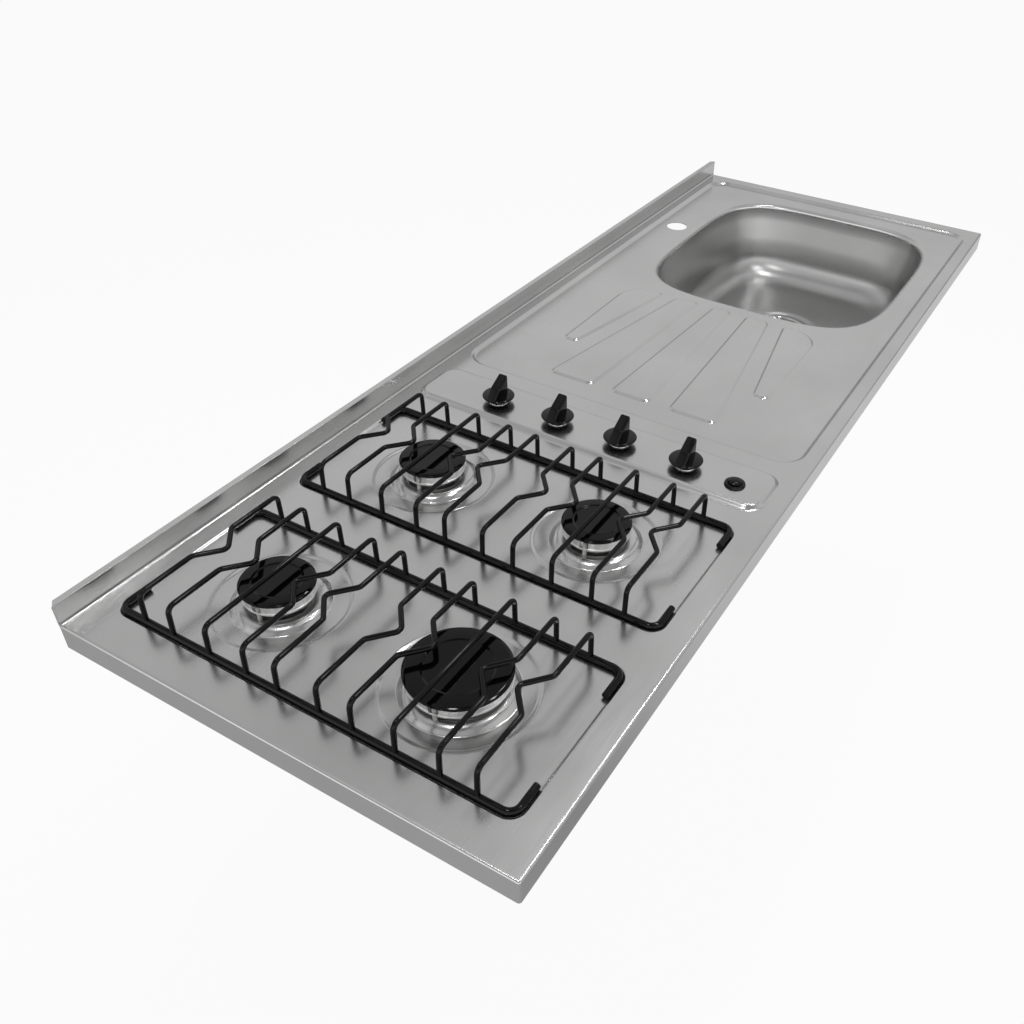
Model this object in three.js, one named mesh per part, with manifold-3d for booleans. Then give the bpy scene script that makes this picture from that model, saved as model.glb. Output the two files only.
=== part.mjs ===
// Kitchenette worktop: one pressed stainless sheet with a four-burner gas hob at its left,
// a raised strip of knobs in the middle, and a ribbed drainer with a deep sink bowl at its right.
//
// Millimetres, +Z up. Inside the group, x runs from the left end to the right end, y from the
// front edge to the wall, and z = 0 is the flat top of the sheet. The group is then placed so
// that the origin is the middle of the rear return flange's underside, where the sheet rests.
import * as THREE from 'three';
import { mergeVertices } from 'three/addons/utils/BufferGeometryUtils.js';
import Module from 'manifold-3d';

const wasm = await Module();
wasm.setup();

// ---- Driving dimensions -------------------------------------------------------------------
const LENGTH = 1500;            // left end to right end
const DEPTH = 528;              // front edge to the back of the upstand
const APRON = 28;               // folded front, end and rear edges, below the top
const SHEET = 1;                // steel thickness
const FOLD = 3;                 // outside radius of the folded edges
const FLANGE = 15;              // width of the return flange under the edges
const UPSTAND_FACE = 520;       // y of the upstand's front face
const UPSTAND_HEIGHT = 25;
const COVE = 3;                 // radius where the top turns up into the upstand
const CONTACT = 0.2;            // gap left between pieces that rest on each other
const ROUND = 16;               // flats round a burner or the waste
const SMALL_ROUND = 12;         // flats round a tap, a nut or a hole

const BURNER_X = [139.5, 389.5];
const BURNER_Y = [155.5, 371.5];
const HOB_MIDDLE_Y = (BURNER_Y[0] + BURNER_Y[1]) / 2;

const WELL = { halfX: 99, halfY: 234.5, radius: 18, depth: 2, wall: 2.5 };
// Height and inward step of a pressed wall, as shares of its height and width, from its foot.
const SWEPT_WALL = [[0, 0], [0.15, 0.35], [0.85, 0.7], [1, 1]];
const STRIP = {
  x0: 519, x1: 604, y0: 21, y1: 503, radius: 24, height: 5, wall: 5, curve: SWEPT_WALL,
};
const KNOB_X = 558;
const KNOB_Y = [394.5, 306.5, 218.5, 130.5];
const BUTTON = { x: 555, y: 66 };

const RECESS = { x0: 630, x1: 1477, y0: 17, y1: 506, radius: 36, depth: 4, wall: 5 };
const RIB = { height: 2.2, wall: 3 };
const RIB_AXIS_Y = 265.5;       // the drainer's fan of ribs is symmetrical about this line
const BOWL = { x: 1214.5, y: 245, halfX: 223, halfY: 193.5, power: 4, lip: 7, floor: 133 };
const TAP_HOLE = { x: 1230, y: 468, radius: 17.5 };
const DRAIN = { x: 1214.5, y: 248, seatRadius: 59, holeRadius: 45, seatDrop: 3 };

const BASE_WIRE = 3.5;          // radius of the pan support's two base wires
const CROSS_WIRE = 2.75;        // radius of its cross wires
const SUPPORT = { halfX: 92, halfY: 227.5, wireTop: 36, end: 35, bend: 10 };
const WIRE_OFFSETS = [-84, -46.5, 0, 46.5, 84];   // cross wires before and behind each burner
const KINK = { halfX: 26, depth: 22 };            // each outer wire's V towards its burner

const LARGE = { cap: 51, crown: 49, hole: 43.4, crest: 49, collar: 56.5, dish: 74.3, cup: 41 };
const MEDIUM = { cap: 38, crown: 36.6, hole: 33.6, crest: 40.5, collar: 52, dish: 69.3, cup: 30 };
const BURNERS = [
  { name: 'front_left', x: BURNER_X[0], y: BURNER_Y[0], size: LARGE, tap: 2 },
  { name: 'rear_left', x: BURNER_X[0], y: BURNER_Y[1], size: MEDIUM, tap: 1 },
  { name: 'front_right', x: BURNER_X[1], y: BURNER_Y[0], size: MEDIUM, tap: 3 },
  { name: 'rear_right', x: BURNER_X[1], y: BURNER_Y[1], size: MEDIUM, tap: 0 },
];
const DISH_FALL = 1.8;          // fall of the cone round each burner
const CROWN_FOOT = 10;          // height of the crown's lower edge above the top
const CROWN_TOP = 21;
const ELECTRODE_TURN = THREE.MathUtils.degToRad(188);   // where each electrode stands
const ELECTRODE_INSET = 3.4;    // electrode's axis inside the crown's outer wall
const RAIL = { x: KNOB_X, z: -51, radius: 9, y0: 100, y1: 440 };
const TUBE_RADIUS = 4;
const OUTLET_Z = -26;           // height of the taps' outlets and of the feed tubes

// ---- Finishes -------------------------------------------------------------------------------
const finish = (color, roughness, metalness) => ({ color, roughness, metalness });
const BRUSHED_STEEL = finish(0xb3b3b0, 0.32, 1);
const POLISHED_STEEL = finish(0xc4c4c2, 0.15, 1);
const ALUMINIUM = finish(0xc9c9c6, 0.35, 1);
const BLACK_ENAMEL = finish(0x111111, 0.2, 0);
const BLACK_PLASTIC = finish(0x161616, 0.35, 0);
const GALVANISED = finish(0x9a9d9f, 0.45, 1);
const BRASS = finish(0xa98b4e, 0.35, 1);
const CERAMIC = finish(0xe9e6df, 0.4, 0);
const RUBBER = finish(0x1b1b1b, 0.8, 0);
const GREY_PLASTIC = finish(0xd8d8d6, 0.5, 0);

// ---- Solids ---------------------------------------------------------------------------------
// Merges the corners of a geometry and turns it so that its faces point out.
function closedMesh(geometry) {
  const bare = geometry.index ? geometry.toNonIndexed() : geometry;
  bare.deleteAttribute('normal');
  bare.deleteAttribute('uv');
  const merged = mergeVertices(bare, 1e-4);
  const place = merged.attributes.position.array;
  const index = Array.from(merged.index.array);
  const corners = [];
  for (let i = 0; i < index.length; i += 3) {
    const [a, b, c] = [index[i], index[i + 1], index[i + 2]];
    if (a !== b && b !== c && c !== a) {
      corners.push(a, b, c);
    }
  }
  let volume = 0;
  for (let i = 0; i < corners.length; i += 3) {
    const [a, b, c] = [corners[i] * 3, corners[i + 1] * 3, corners[i + 2] * 3];
    volume += place[a] * (place[b + 1] * place[c + 2] - place[b + 2] * place[c + 1]);
    volume += place[a + 1] * (place[b + 2] * place[c] - place[b] * place[c + 2]);
    volume += place[a + 2] * (place[b] * place[c + 1] - place[b + 1] * place[c]);
  }
  if (volume < 0) {
    corners.reverse();
  }
  return { place, corners };
}

function solid(geometry) {
  const { place, corners } = closedMesh(geometry);
  const mesh = new wasm.Mesh({
    numProp: 3,
    vertProperties: Float32Array.from(place),
    triVerts: Uint32Array.from(corners),
  });
  return new wasm.Manifold(mesh);
}

function geometryOf(manifold) {
  const mesh = manifold.getMesh();
  const geometry = new THREE.BufferGeometry();
  const places = new Float32Array((mesh.vertProperties.length / mesh.numProp) * 3);
  for (let i = 0; i < places.length / 3; i += 1) {
    for (let k = 0; k < 3; k += 1) {
      places[i * 3 + k] = mesh.vertProperties[i * mesh.numProp + k];
    }
  }
  geometry.setAttribute('position', new THREE.BufferAttribute(places, 3));
  geometry.setIndex(Array.from(mesh.triVerts));
  return geometry;
}

// ---- Outlines and profiles ------------------------------------------------------------------
// A convex outline with rounded corners, drawn in by inset on every side.
function roundedOutline(corners, radii, inset = 0, steps = 5) {
  const points = [];
  corners.forEach((corner, i) => {
    const before = corners[(i + corners.length - 1) % corners.length];
    const after = corners[(i + 1) % corners.length];
    const into = new THREE.Vector2(corner[0] - before[0], corner[1] - before[1]).normalize();
    const out = new THREE.Vector2(after[0] - corner[0], after[1] - corner[1]).normalize();
    const turn = Math.atan2(into.cross(out), into.dot(out));
    const bisector = new THREE.Vector2(-into.y - out.y, into.x + out.x).normalize();
    const radius = Math.max(radii[i] - inset, 0.3);
    const reach = (inset + radius) / Math.cos(turn / 2);
    const centre = new THREE.Vector2(...corner).addScaledVector(bisector, reach);
    const start = Math.atan2(-into.x, into.y);
    for (let k = 0; k <= steps; k += 1) {
      const angle = start + (turn * k) / steps;
      points.push([centre.x + radius * Math.cos(angle), centre.y + radius * Math.sin(angle)]);
    }
  });
  return points;
}

function rectangleCorners(x0, x1, y0, y1) {
  return [[x0, y0], [x1, y0], [x1, y1], [x0, y1]];
}

function rectangleOutline(box, inset, steps) {
  const corners = rectangleCorners(box.x0, box.x1, box.y0, box.y1);
  return roundedOutline(corners, [box.radius, box.radius, box.radius, box.radius], inset, steps);
}

// The bowl's plan: a superellipse, whose power falls to 2 (an ellipse) towards the drain.
function superellipse(x, y, halfX, halfY, power, count = 24) {
  const points = [];
  for (let i = 0; i < count; i += 1) {
    const angle = (2 * Math.PI * i) / count;
    const across = Math.sign(Math.cos(angle)) * Math.abs(Math.cos(angle)) ** (2 / power);
    const along = Math.sign(Math.sin(angle)) * Math.abs(Math.sin(angle)) ** (2 / power);
    points.push([x + halfX * across, y + halfY * along]);
  }
  return points;
}

// Skins rings of points that have the same count. An open stack is closed by a flat face at
// each end; a closed one joins its last ring to its first, as round a hole.
function skin(rings, closed = false) {
  const count = rings[0].length;
  const places = rings.flat(2);
  const index = [];
  const last = closed ? rings.length : rings.length - 1;
  for (let r = 0; r < last; r += 1) {
    const low = r * count;
    const high = ((r + 1) % rings.length) * count;
    for (let i = 0; i < count; i += 1) {
      const next = (i + 1) % count;
      index.push(low + i, low + next, high + next, low + i, high + next, high + i);
    }
  }
  if (!closed) {
    for (const [r, flip] of [[0, true], [rings.length - 1, false]]) {
      const outline = rings[r].map(([x, y]) => new THREE.Vector2(x, y));
      for (const [a, b, c] of THREE.ShapeUtils.triangulateShape(outline, [])) {
        const face = flip ? [c, b, a] : [a, b, c];
        index.push(...face.map((i) => r * count + i));
      }
    }
  }
  const geometry = new THREE.BufferGeometry();
  geometry.setAttribute('position', new THREE.Float32BufferAttribute(places, 3));
  geometry.setIndex(index);
  return geometry;
}

const ringAt = (outline, z) => outline.map(([x, y]) => [x, y, z]);

function extrude(outline, depth, steps) {
  const shape = new THREE.Shape(outline.map(([x, y]) => new THREE.Vector2(x, y)));
  return new THREE.ExtrudeGeometry(shape, { depth, bevelEnabled: false, ...steps });
}

// A profile of (y, z) points drawn out along x.
function extrudeAlongX(profile, x0, x1) {
  const turn = new THREE.Matrix4().makeBasis(
    new THREE.Vector3(0, 1, 0), new THREE.Vector3(0, 0, 1), new THREE.Vector3(1, 0, 0));
  return extrude(profile, x1 - x0).applyMatrix4(turn).translate(x0, 0, 0);
}

// A profile of (x, z) points drawn out along y.
function extrudeAlongY(profile, y0, y1) {
  const turn = new THREE.Matrix4().makeBasis(
    new THREE.Vector3(1, 0, 0), new THREE.Vector3(0, 0, 1), new THREE.Vector3(0, -1, 0));
  return extrude(profile, y1 - y0).applyMatrix4(turn).translate(0, y1, 0);
}

function block(x0, x1, y0, y1, z0, z1) {
  const box = new THREE.BoxGeometry(x1 - x0, y1 - y0, z1 - z0);
  return box.translate((x0 + x1) / 2, (y0 + y1) / 2, (z0 + z1) / 2);
}

function arc(cx, cy, radius, fromDegrees, toDegrees, steps) {
  const points = [];
  for (let i = 0; i <= steps; i += 1) {
    const angle = THREE.MathUtils.degToRad(fromDegrees + ((toDegrees - fromDegrees) * i) / steps);
    points.push([cx + radius * Math.cos(angle), cy + radius * Math.sin(angle)]);
  }
  return points;
}

// A turned piece: a profile of (radius, z) points, spun about an upright axis at x, y.
function turned(profile, x, y, segments = ROUND) {
  const closes = profile[0][0] > 0;
  const line = closes ? [...profile, profile[0]] : profile;
  const lathe = new THREE.LatheGeometry(line.map(([r, z]) => new THREE.Vector2(r, z)), segments);
  return lathe.rotateX(Math.PI / 2).translate(x, y, 0);
}

function cylinder(x, y, radius, z0, z1, segments = SMALL_ROUND) {
  return turned([[0, z0], [radius, z0], [radius, z1], [0, z1]], x, y, segments);
}

// ---- Pressed steel sheet ------------------------------------------------------------------
const PLAIN_WALL = [[0, 0], [1, 1]];

// The space a pressed form takes up, from its foot to its flat floor or crest.
function pressing(outlineAt, from, to, { wall, curve = PLAIN_WALL }) {
  const rings = [ringAt(outlineAt(-0.2), from - Math.sign(to - from) * SHEET * 0.5)];
  curve.forEach(([rise, step]) => {
    rings.push(ringAt(outlineAt(wall * step), from + (to - from) * rise));
  });
  return solid(skin(rings));
}

// Sinks a form into the sheet: its outside is added below first, then its inside is cut out.
function sink(sheet, outlineAt, level, form) {
  const outside = pressing((inset) => outlineAt(inset - SHEET * 0.8), level - SHEET,
    level - form.depth - SHEET, form);
  return sheet.add(outside).subtract(pressing(outlineAt, level, level - form.depth, form));
}

// Raises a form out of the sheet, hollow underneath.
function raise(sheet, outlineAt, level, form) {
  const inside = pressing((inset) => outlineAt(inset + SHEET * 0.8), level - SHEET,
    level + form.height - SHEET, form);
  return sheet.add(pressing(outlineAt, level, level + form.height, form)).subtract(inside);
}

// The folded tray: front and end aprons, upstand and rear skirt, with a return flange all round.
function foldedTray() {
  const front = (t) => [...arc(FOLD, -FOLD, FOLD - t, 180, 90, 3)];
  const outerSide = [[0, -APRON], ...front(0), [DEPTH, 0], [DEPTH, -APRON]];
  const innerSide = [[SHEET, -APRON + SHEET], ...front(SHEET), [DEPTH - SHEET, -SHEET],
    [DEPTH - SHEET, -APRON + SHEET]];
  const endOutline = (t, foot) => [[t, foot], ...arc(FOLD, -FOLD, FOLD - t, 180, 90, 3),
    ...arc(LENGTH - FOLD, -FOLD, FOLD - t, 90, 0, 3), [LENGTH - t, foot]];
  const outer = solid(extrudeAlongX(outerSide, 0, LENGTH))
    .intersect(solid(extrudeAlongY(endOutline(0, -APRON), 0, DEPTH)));
  const inner = solid(extrudeAlongX(innerSide, SHEET, LENGTH - SHEET))
    .intersect(solid(extrudeAlongY(endOutline(SHEET, -APRON + SHEET), SHEET, DEPTH - SHEET)));
  const mouth = solid(block(FLANGE, LENGTH - FLANGE, FLANGE, DEPTH - FLANGE,
    -APRON - 1, -APRON + SHEET + 1));
  const upstand = (t, foot) => {
    const face = UPSTAND_FACE + t;
    const top = UPSTAND_HEIGHT - t;
    return [[face - COVE, foot], [face - COVE, -t], ...arc(face - COVE, COVE - t, COVE, -90, 0, 3),
      [face, top - 1], [face + 1, top], [DEPTH - t - 1, top], [DEPTH - t, top - 1],
      [DEPTH - t, foot]];
  };
  const raised = solid(extrudeAlongX(upstand(0, -SHEET), 0, LENGTH));
  const hollow = solid(extrudeAlongX(upstand(SHEET, -SHEET - 2), SHEET, LENGTH - SHEET));
  const tray = outer.add(raised).subtract(inner).subtract(mouth).subtract(hollow);
  return tray.subtract(upstandEnd(0, 1)).subtract(upstandEnd(LENGTH, -1));
}

// The slanted cut that leaves each end of the upstand's channel open towards the wall.
function upstandEnd(x, side) {
  const slant = 6.5;
  const outline = [[-1, UPSTAND_FACE], [0, UPSTAND_FACE], [slant, DEPTH], [slant + 0.8, DEPTH + 1],
    [-1, DEPTH + 1]];
  const placed = outline.map(([along, y]) => [x + side * along, y]);
  const wedge = extrude(side > 0 ? placed : placed.reverse(), APRON + UPSTAND_HEIGHT + 2);
  return solid(wedge.translate(0, 0, -APRON - 1));
}

// The round pressing under each burner: a shallow cone whose middle swells up into a collar.
function burnerCollar({ x, y, size }) {
  const rim = -WELL.depth;
  const foot = rim - DISH_FALL;
  const slope = (size.collar + size.crest) / 2;
  const above = [
    [size.dish + 1, rim], [size.dish, rim], [size.collar + 1, foot], [slope + 1.4, 2.6],
    [size.crest + 1, 4.8], [size.hole, 1.5],
  ];
  const below = [
    [size.hole + SHEET, 1.5], [size.crest, 3.4], [slope + 0.4, 1.4], [size.collar, foot - SHEET],
    [size.dish, rim - SHEET], [size.dish + 1, rim - SHEET],
  ];
  return solid(turned([...above, ...below], x, y, ROUND));
}

// One main rib of the drainer, and one short corner rib; both narrow towards the bowl.
function drainerRibs() {
  const near = 669;
  const far = 974;
  const cornerNear = 762;
  const ribs = [
    { corners: [[near, -30], [far, -16], [far, 16], [near, 30]], radii: [12, 9, 9, 12] },
    { corners: [[near, 55], [far, 38], [far, 77], [near, 125]], radii: [12, 9, 10, 12] },
    { corners: [[cornerNear, 134], [far, 96], [far, 158], [cornerNear, 158]], radii: [6, 10, 44, 8] },
  ];
  const mirrored = ribs.slice(1).map(({ corners, radii }) => ({
    corners: corners.map(([x, y]) => [x, -y]).reverse(),
    radii: [...radii].reverse(),
  }));
  return [...ribs, ...mirrored].map(({ corners, radii }) => (inset) => {
    const placed = corners.map(([x, y]) => [x, y + RIB_AXIS_Y]);
    return roundedOutline(placed, radii, inset, 2);
  });
}

function bowlOutline(inset) {
  return superellipse(BOWL.x, BOWL.y, BOWL.halfX - inset, BOWL.halfY - inset, BOWL.power);
}

// The edge of the sheet round the bowl, rolled down to meet the bowl's wall.
function bowlLip() {
  const centreZ = -RECESS.depth - BOWL.lip;
  const foot = centreZ - 2;
  const section = [
    [-1, -RECESS.depth], ...arc(0, centreZ, BOWL.lip, 80, 0, 3), [BOWL.lip, foot],
    [BOWL.lip - SHEET, foot], ...arc(0, centreZ, BOWL.lip - SHEET, 0, 45, 1),
    [-1, -RECESS.depth - SHEET],
  ];
  return solid(skin(section.map(([inset, z]) => ringAt(bowlOutline(inset), z)), true));
}

function electrodePlace({ x, y, size }) {
  const reach = size.crown - ELECTRODE_INSET;
  return [x + reach * Math.cos(ELECTRODE_TURN), y + reach * Math.sin(ELECTRODE_TURN)];
}

function worktopSheet() {
  let sheet = foldedTray();
  BURNER_X.forEach((x) => {
    const well = {
      x0: x - WELL.halfX, x1: x + WELL.halfX,
      y0: HOB_MIDDLE_Y - WELL.halfY, y1: HOB_MIDDLE_Y + WELL.halfY, radius: WELL.radius,
    };
    sheet = sink(sheet, (inset) => rectangleOutline(well, inset, 3), 0, WELL);
  });
  sheet = raise(sheet, (inset) => rectangleOutline(STRIP, inset, 4), 0, STRIP);
  sheet = sink(sheet, (inset) => rectangleOutline(RECESS, inset, 4), 0, RECESS);
  drainerRibs().forEach((outlineAt) => {
    sheet = raise(sheet, outlineAt, -RECESS.depth, RIB);
  });
  BURNERS.forEach((burner) => {
    sheet = sheet.subtract(solid(cylinder(burner.x, burner.y, burner.size.dish, -8, 2, ROUND)));
    sheet = sheet.add(burnerCollar(burner));
    const [x, y] = electrodePlace(burner);
    sheet = sheet.subtract(solid(cylinder(x, y, 3, -9, 9, 8)));
  });
  const bowlMouth = [ringAt(bowlOutline(-0.5), -RECESS.depth + 2), ringAt(bowlOutline(-0.5), -10)];
  sheet = sheet.subtract(solid(skin(bowlMouth))).add(bowlLip());
  sheet = sheet.subtract(solid(cylinder(TAP_HOLE.x, TAP_HOLE.y, TAP_HOLE.radius, -9, 2, ROUND)));
  KNOB_Y.forEach((y) => {
    sheet = sheet.subtract(solid(cylinder(KNOB_X, y, 8.6, 0, 9)));
  });
  return sheet.subtract(solid(cylinder(BUTTON.x, BUTTON.y, 9.6, 0, 9)));
}

// ---- Sink bowl and waste --------------------------------------------------------------------
// The deep-drawn bowl: tapering walls, a wide bottom radius and a round seat for the waste.
function sinkBowl() {
  const rim = -RECESS.depth - BOWL.lip - 2;
  const bottomRadius = 46;
  const wallInset = BOWL.lip + 16;
  const ring = (inset, z, power = BOWL.power) => ({ inset, z, power });
  const stack = [ring(BOWL.lip, rim), ring(wallInset, -BOWL.floor + bottomRadius)];
  arc(0, 0, bottomRadius, 0, 78, 3).slice(1).forEach(([x, z]) => {
    stack.push(ring(wallInset + bottomRadius - x, -BOWL.floor + bottomRadius - z));
  });
  const drainRing = (radius, z) => ringAt(superellipse(DRAIN.x, DRAIN.y, radius, radius, 2), z);
  const halves = (level, t) => superellipse(BOWL.x, BOWL.y, BOWL.halfX - level.inset + t,
    BOWL.halfY - level.inset + t, level.power);
  const inside = stack.map((level) => ringAt(halves(level, 0), level.z));
  inside.push(drainRing(DRAIN.seatRadius + 2, -BOWL.floor));
  inside.push(drainRing(DRAIN.seatRadius, -BOWL.floor - DRAIN.seatDrop));
  inside.push(drainRing(DRAIN.holeRadius, -BOWL.floor - DRAIN.seatDrop));
  const outside = stack.map((level, i) => {
    const share = i / (stack.length - 1);
    return ringAt(halves(level, SHEET * (1 - share * 0.7)), level.z - SHEET * share);
  });
  outside.push(drainRing(DRAIN.seatRadius + 3, -BOWL.floor - SHEET));
  outside.push(drainRing(DRAIN.seatRadius + 1, -BOWL.floor - DRAIN.seatDrop - SHEET));
  outside.push(drainRing(DRAIN.holeRadius, -BOWL.floor - DRAIN.seatDrop - SHEET));
  return skin([...inside, ...outside.reverse()], true);
}

const SEAT = -BOWL.floor - DRAIN.seatDrop;          // where the waste's rim rests
const BOWL_UNDER = SEAT - SHEET;                     // underside of the bowl round its hole

// Polished waste cup: rim in the bowl's seat, deep cup for the basket, and an outlet neck.
function strainerCup() {
  const rim = SEAT + CONTACT;
  return turned([[57, rim], [55.5, rim + 1.8], [47, rim + 1.8], [41, rim - 4],
    [39, SEAT - 32], [18.5, SEAT - 37], [18.5, SEAT - 50], [21, SEAT - 50],
    [21, SEAT - 38], [44, SEAT - 33], [44, rim]], DRAIN.x, DRAIN.y);
}

function drainGasket() {
  const top = BOWL_UNDER - CONTACT;
  return turned([[44.6, top], [57, top], [57, top - 3], [44.6, top - 3]], DRAIN.x, DRAIN.y);
}

// Clamping nut under the bowl, with grip lugs round its edge.
function drainLocknut() {
  const top = BOWL_UNDER - 3 - 2 * CONTACT;
  let nut = solid(turned([[44.6, top], [54, top], [50, top - 9], [44.6, top - 9]],
    DRAIN.x, DRAIN.y));
  for (let i = 0; i < 6; i += 1) {
    const lug = block(47, 58, -4, 4, top - 8, top - 0.5).rotateZ((i * Math.PI) / 3);
    nut = nut.add(solid(lug.translate(DRAIN.x, DRAIN.y, 0)));
  }
  return geometryOf(nut);
}

function tailNut() {
  const top = SEAT - 41;
  const hex = cylinder(DRAIN.x, DRAIN.y, 29, top - 16, top, 8);
  const bore = turned([[0, top - 20], [20.8, top - 20], [20.8, top - 11], [21.4, top - 11],
    [21.4, top + 1], [0, top + 1]], DRAIN.x, DRAIN.y);
  return geometryOf(solid(hex).subtract(solid(bore)));
}

function drainTailpiece() {
  const top = SEAT - 50 - CONTACT;
  return turned([[18.5, top], [20.5, top], [20.5, top - 62], [18.5, top - 62]],
    DRAIN.x, DRAIN.y);
}

// Lift-out basket: a tapered cup with drain holes, held by a stem with a small grip.
function strainerBasket() {
  const rim = SEAT - 3.2;
  const floor = SEAT - 26;
  let basket = solid(turned([[0, floor + 22], [7, floor + 20], [4, floor + 13],
    [5, floor + 1], [31, floor + 1], [36, rim], [40.2, rim + 1], [37.4, rim - 1],
    [32, floor], [0, floor]], DRAIN.x, DRAIN.y, 16));
  for (let i = 0; i < 6; i += 1) {
    const angle = (i * Math.PI) / 3;
    const hole = cylinder(0, 0, 4.2, floor - 1, floor + 2, 5);
    basket = basket.subtract(solid(hole.translate(
      DRAIN.x + 19 * Math.cos(angle), DRAIN.y + 19 * Math.sin(angle), 0)));
  }
  return geometryOf(basket);
}

// ---- Burners ------------------------------------------------------------------------------
const DISH_UNDER = -WELL.depth - DISH_FALL - SHEET;  // lowest underside of the cone

// Cast cup that hangs from the sheet by its flange; the gas and air mix inside it.
function burnerCup(burner) {
  const { x, y, size } = burner;
  const top = CROWN_FOOT - CONTACT;
  const flange = DISH_UNDER - CONTACT;
  const wall = size.cup;
  const profile = [[0, -24], [wall - 6, -24], [wall, flange - 3], [size.collar + 8, flange - 3],
    [size.collar + 8, flange], [wall, flange], [wall, top], [wall - 3, top], [wall - 5, -20],
    [0, -20]];
  const [ex, ey] = electrodePlace(burner);
  const [inletX, inletY, inletReach] = [x, y, wall + 8];
  const holder = new THREE.CylinderGeometry(7, 7, inletReach, 6).rotateZ(-Math.PI / 2)
    .translate(inletX + inletReach / 2, inletY, OUTLET_Z);
  const cup = solid(turned(profile, x, y, SMALL_ROUND))
    .add(solid(cylinder(x, y, 12, -34, -23, 6)))
    .add(solid(holder));
  return geometryOf(cup.subtract(solid(cylinder(ex, ey, 2.7, -12, 0, 8))));
}

// Aluminium crown: a plain bright wall with fine gas slots in its top edge, and a window cut
// down to a low lip, behind which the electrode comes up.
function burnerCrown(burner) {
  const { x, y, size } = burner;
  const r = size.crown;
  const inner = size.cup - 5.2;
  const profile = [[r, CROWN_FOOT], [r, CROWN_TOP], [r - 8, CROWN_TOP],
    [inner - 3, CROWN_FOOT + 1], [inner - 3, CROWN_FOOT - 7], [inner, CROWN_FOOT - 7],
    [inner, CROWN_FOOT]];
  let crown = solid(turned(profile, x, y));
  const slots = 4;
  for (let i = 0; i < slots; i += 1) {
    const angle = (2 * Math.PI * (i + 0.5)) / slots;
    const slot = block(r - 11, r + 2, -0.8, 0.8, CROWN_TOP - 2.2, CROWN_TOP + 1);
    crown = crown.subtract(solid(slot.rotateZ(angle).translate(x, y, 0)));
  }
  const window = block(r - ELECTRODE_INSET - 3, r + 1, -5, 5, CROWN_FOOT + 2.5, CROWN_TOP + 1);
  const [ex, ey] = electrodePlace(burner);
  return geometryOf(crown
    .subtract(solid(window.rotateZ(ELECTRODE_TURN).translate(x, y, 0)))
    .subtract(solid(cylinder(ex, ey, 2.6, CROWN_FOOT - 1, CROWN_FOOT + 4, 8))));
}

// Enamelled cap: a flat disc with a raised outer ring, and a locating ring inside the crown.
function burnerCap({ x, y, size }) {
  const r = size.cap;
  const base = CROWN_TOP + CONTACT;
  const step = r * 0.65;
  return turned([[0, base - 3], [r - 13.4, base - 3], [r - 13, base], [r - 1, base],
    [r, base + 1.4], [r - 2.4, base + 3.6], [step + 1.2, base + 4.2], [step - 0.4, base + 3.5],
    [0, base + 3.5]], x, y);
}

// Ceramic spark electrode: steel pin in a white sleeve that stands in the crown's window, with
// a shoulder under the cup's flange.
function electrode(burner) {
  const [x, y] = electrodePlace(burner);
  const shoulder = DISH_UNDER - CONTACT - 3 - CONTACT;
  return turned([[0, -22], [2.2, -20], [2.2, shoulder - 3], [3.5, shoulder - 3],
    [3.5, shoulder], [2.2, shoulder], [2.2, 16.2], [0.8, 17], [0.8, 19.6], [0, 19.6]], x, y, 6);
}

// ---- Pan supports ---------------------------------------------------------------------------
// A bent wire's centre line: straight runs between stations, with an arc's worth at each sharp
// bend and a plain mitre at each slight one.
class BentWire extends THREE.Curve {
  constructor(stations) {
    super();
    this.stations = stations;
  }

  getPoint(t) {
    const place = t * (this.stations.length - 1);
    const i = Math.min(Math.floor(place), this.stations.length - 2);
    return this.stations[i].clone().lerp(this.stations[i + 1], place - i);
  }

  getPointAt(u) {
    return this.getPoint(u);
  }

  getTangentAt(u) {
    const i = Math.round(u * (this.stations.length - 1));
    const before = this.stations[Math.max(i - 1, 0)];
    const after = this.stations[Math.min(i + 1, this.stations.length - 1)];
    return after.clone().sub(before).normalize();
  }
}

function bendStations(corners, radius) {
  const stations = [corners[0]];
  for (let i = 1; i < corners.length - 1; i += 1) {
    const into = corners[i].clone().sub(corners[i - 1]).normalize();
    const out = corners[i + 1].clone().sub(corners[i]).normalize();
    const turn = into.angleTo(out);
    if (turn < 0.8) {
      stations.push(corners[i]);
      continue;
    }
    const steps = turn > 1.55 ? 2 : 1;
    const reach = radius * Math.tan(turn / 2);
    const start = corners[i].clone().addScaledVector(into, -reach);
    const end = corners[i].clone().addScaledVector(out, reach);
    const inward = out.clone().sub(into).normalize();
    const centre = corners[i].clone().addScaledVector(inward, radius / Math.cos(turn / 2));
    for (let k = 0; k <= steps; k += 1) {
      const spoke = start.clone().lerp(end, k / steps).sub(centre).setLength(radius);
      stations.push(k === 0 ? start : k === steps ? end : spoke.add(centre));
    }
  }
  stations.push(corners[corners.length - 1]);
  return stations;
}

function wire(corners, radius, bend, sides = 5) {
  const section = new THREE.Shape(arc(0, 0, radius, 0, 360, sides).slice(0, sides)
    .map(([x, y]) => new THREE.Vector2(x, y)));
  const path = new BentWire(bendStations(corners, bend));
  const steps = path.stations.length - 1;
  return new THREE.ExtrudeGeometry(section, { steps, extrudePath: path, bevelEnabled: false });
}

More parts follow.
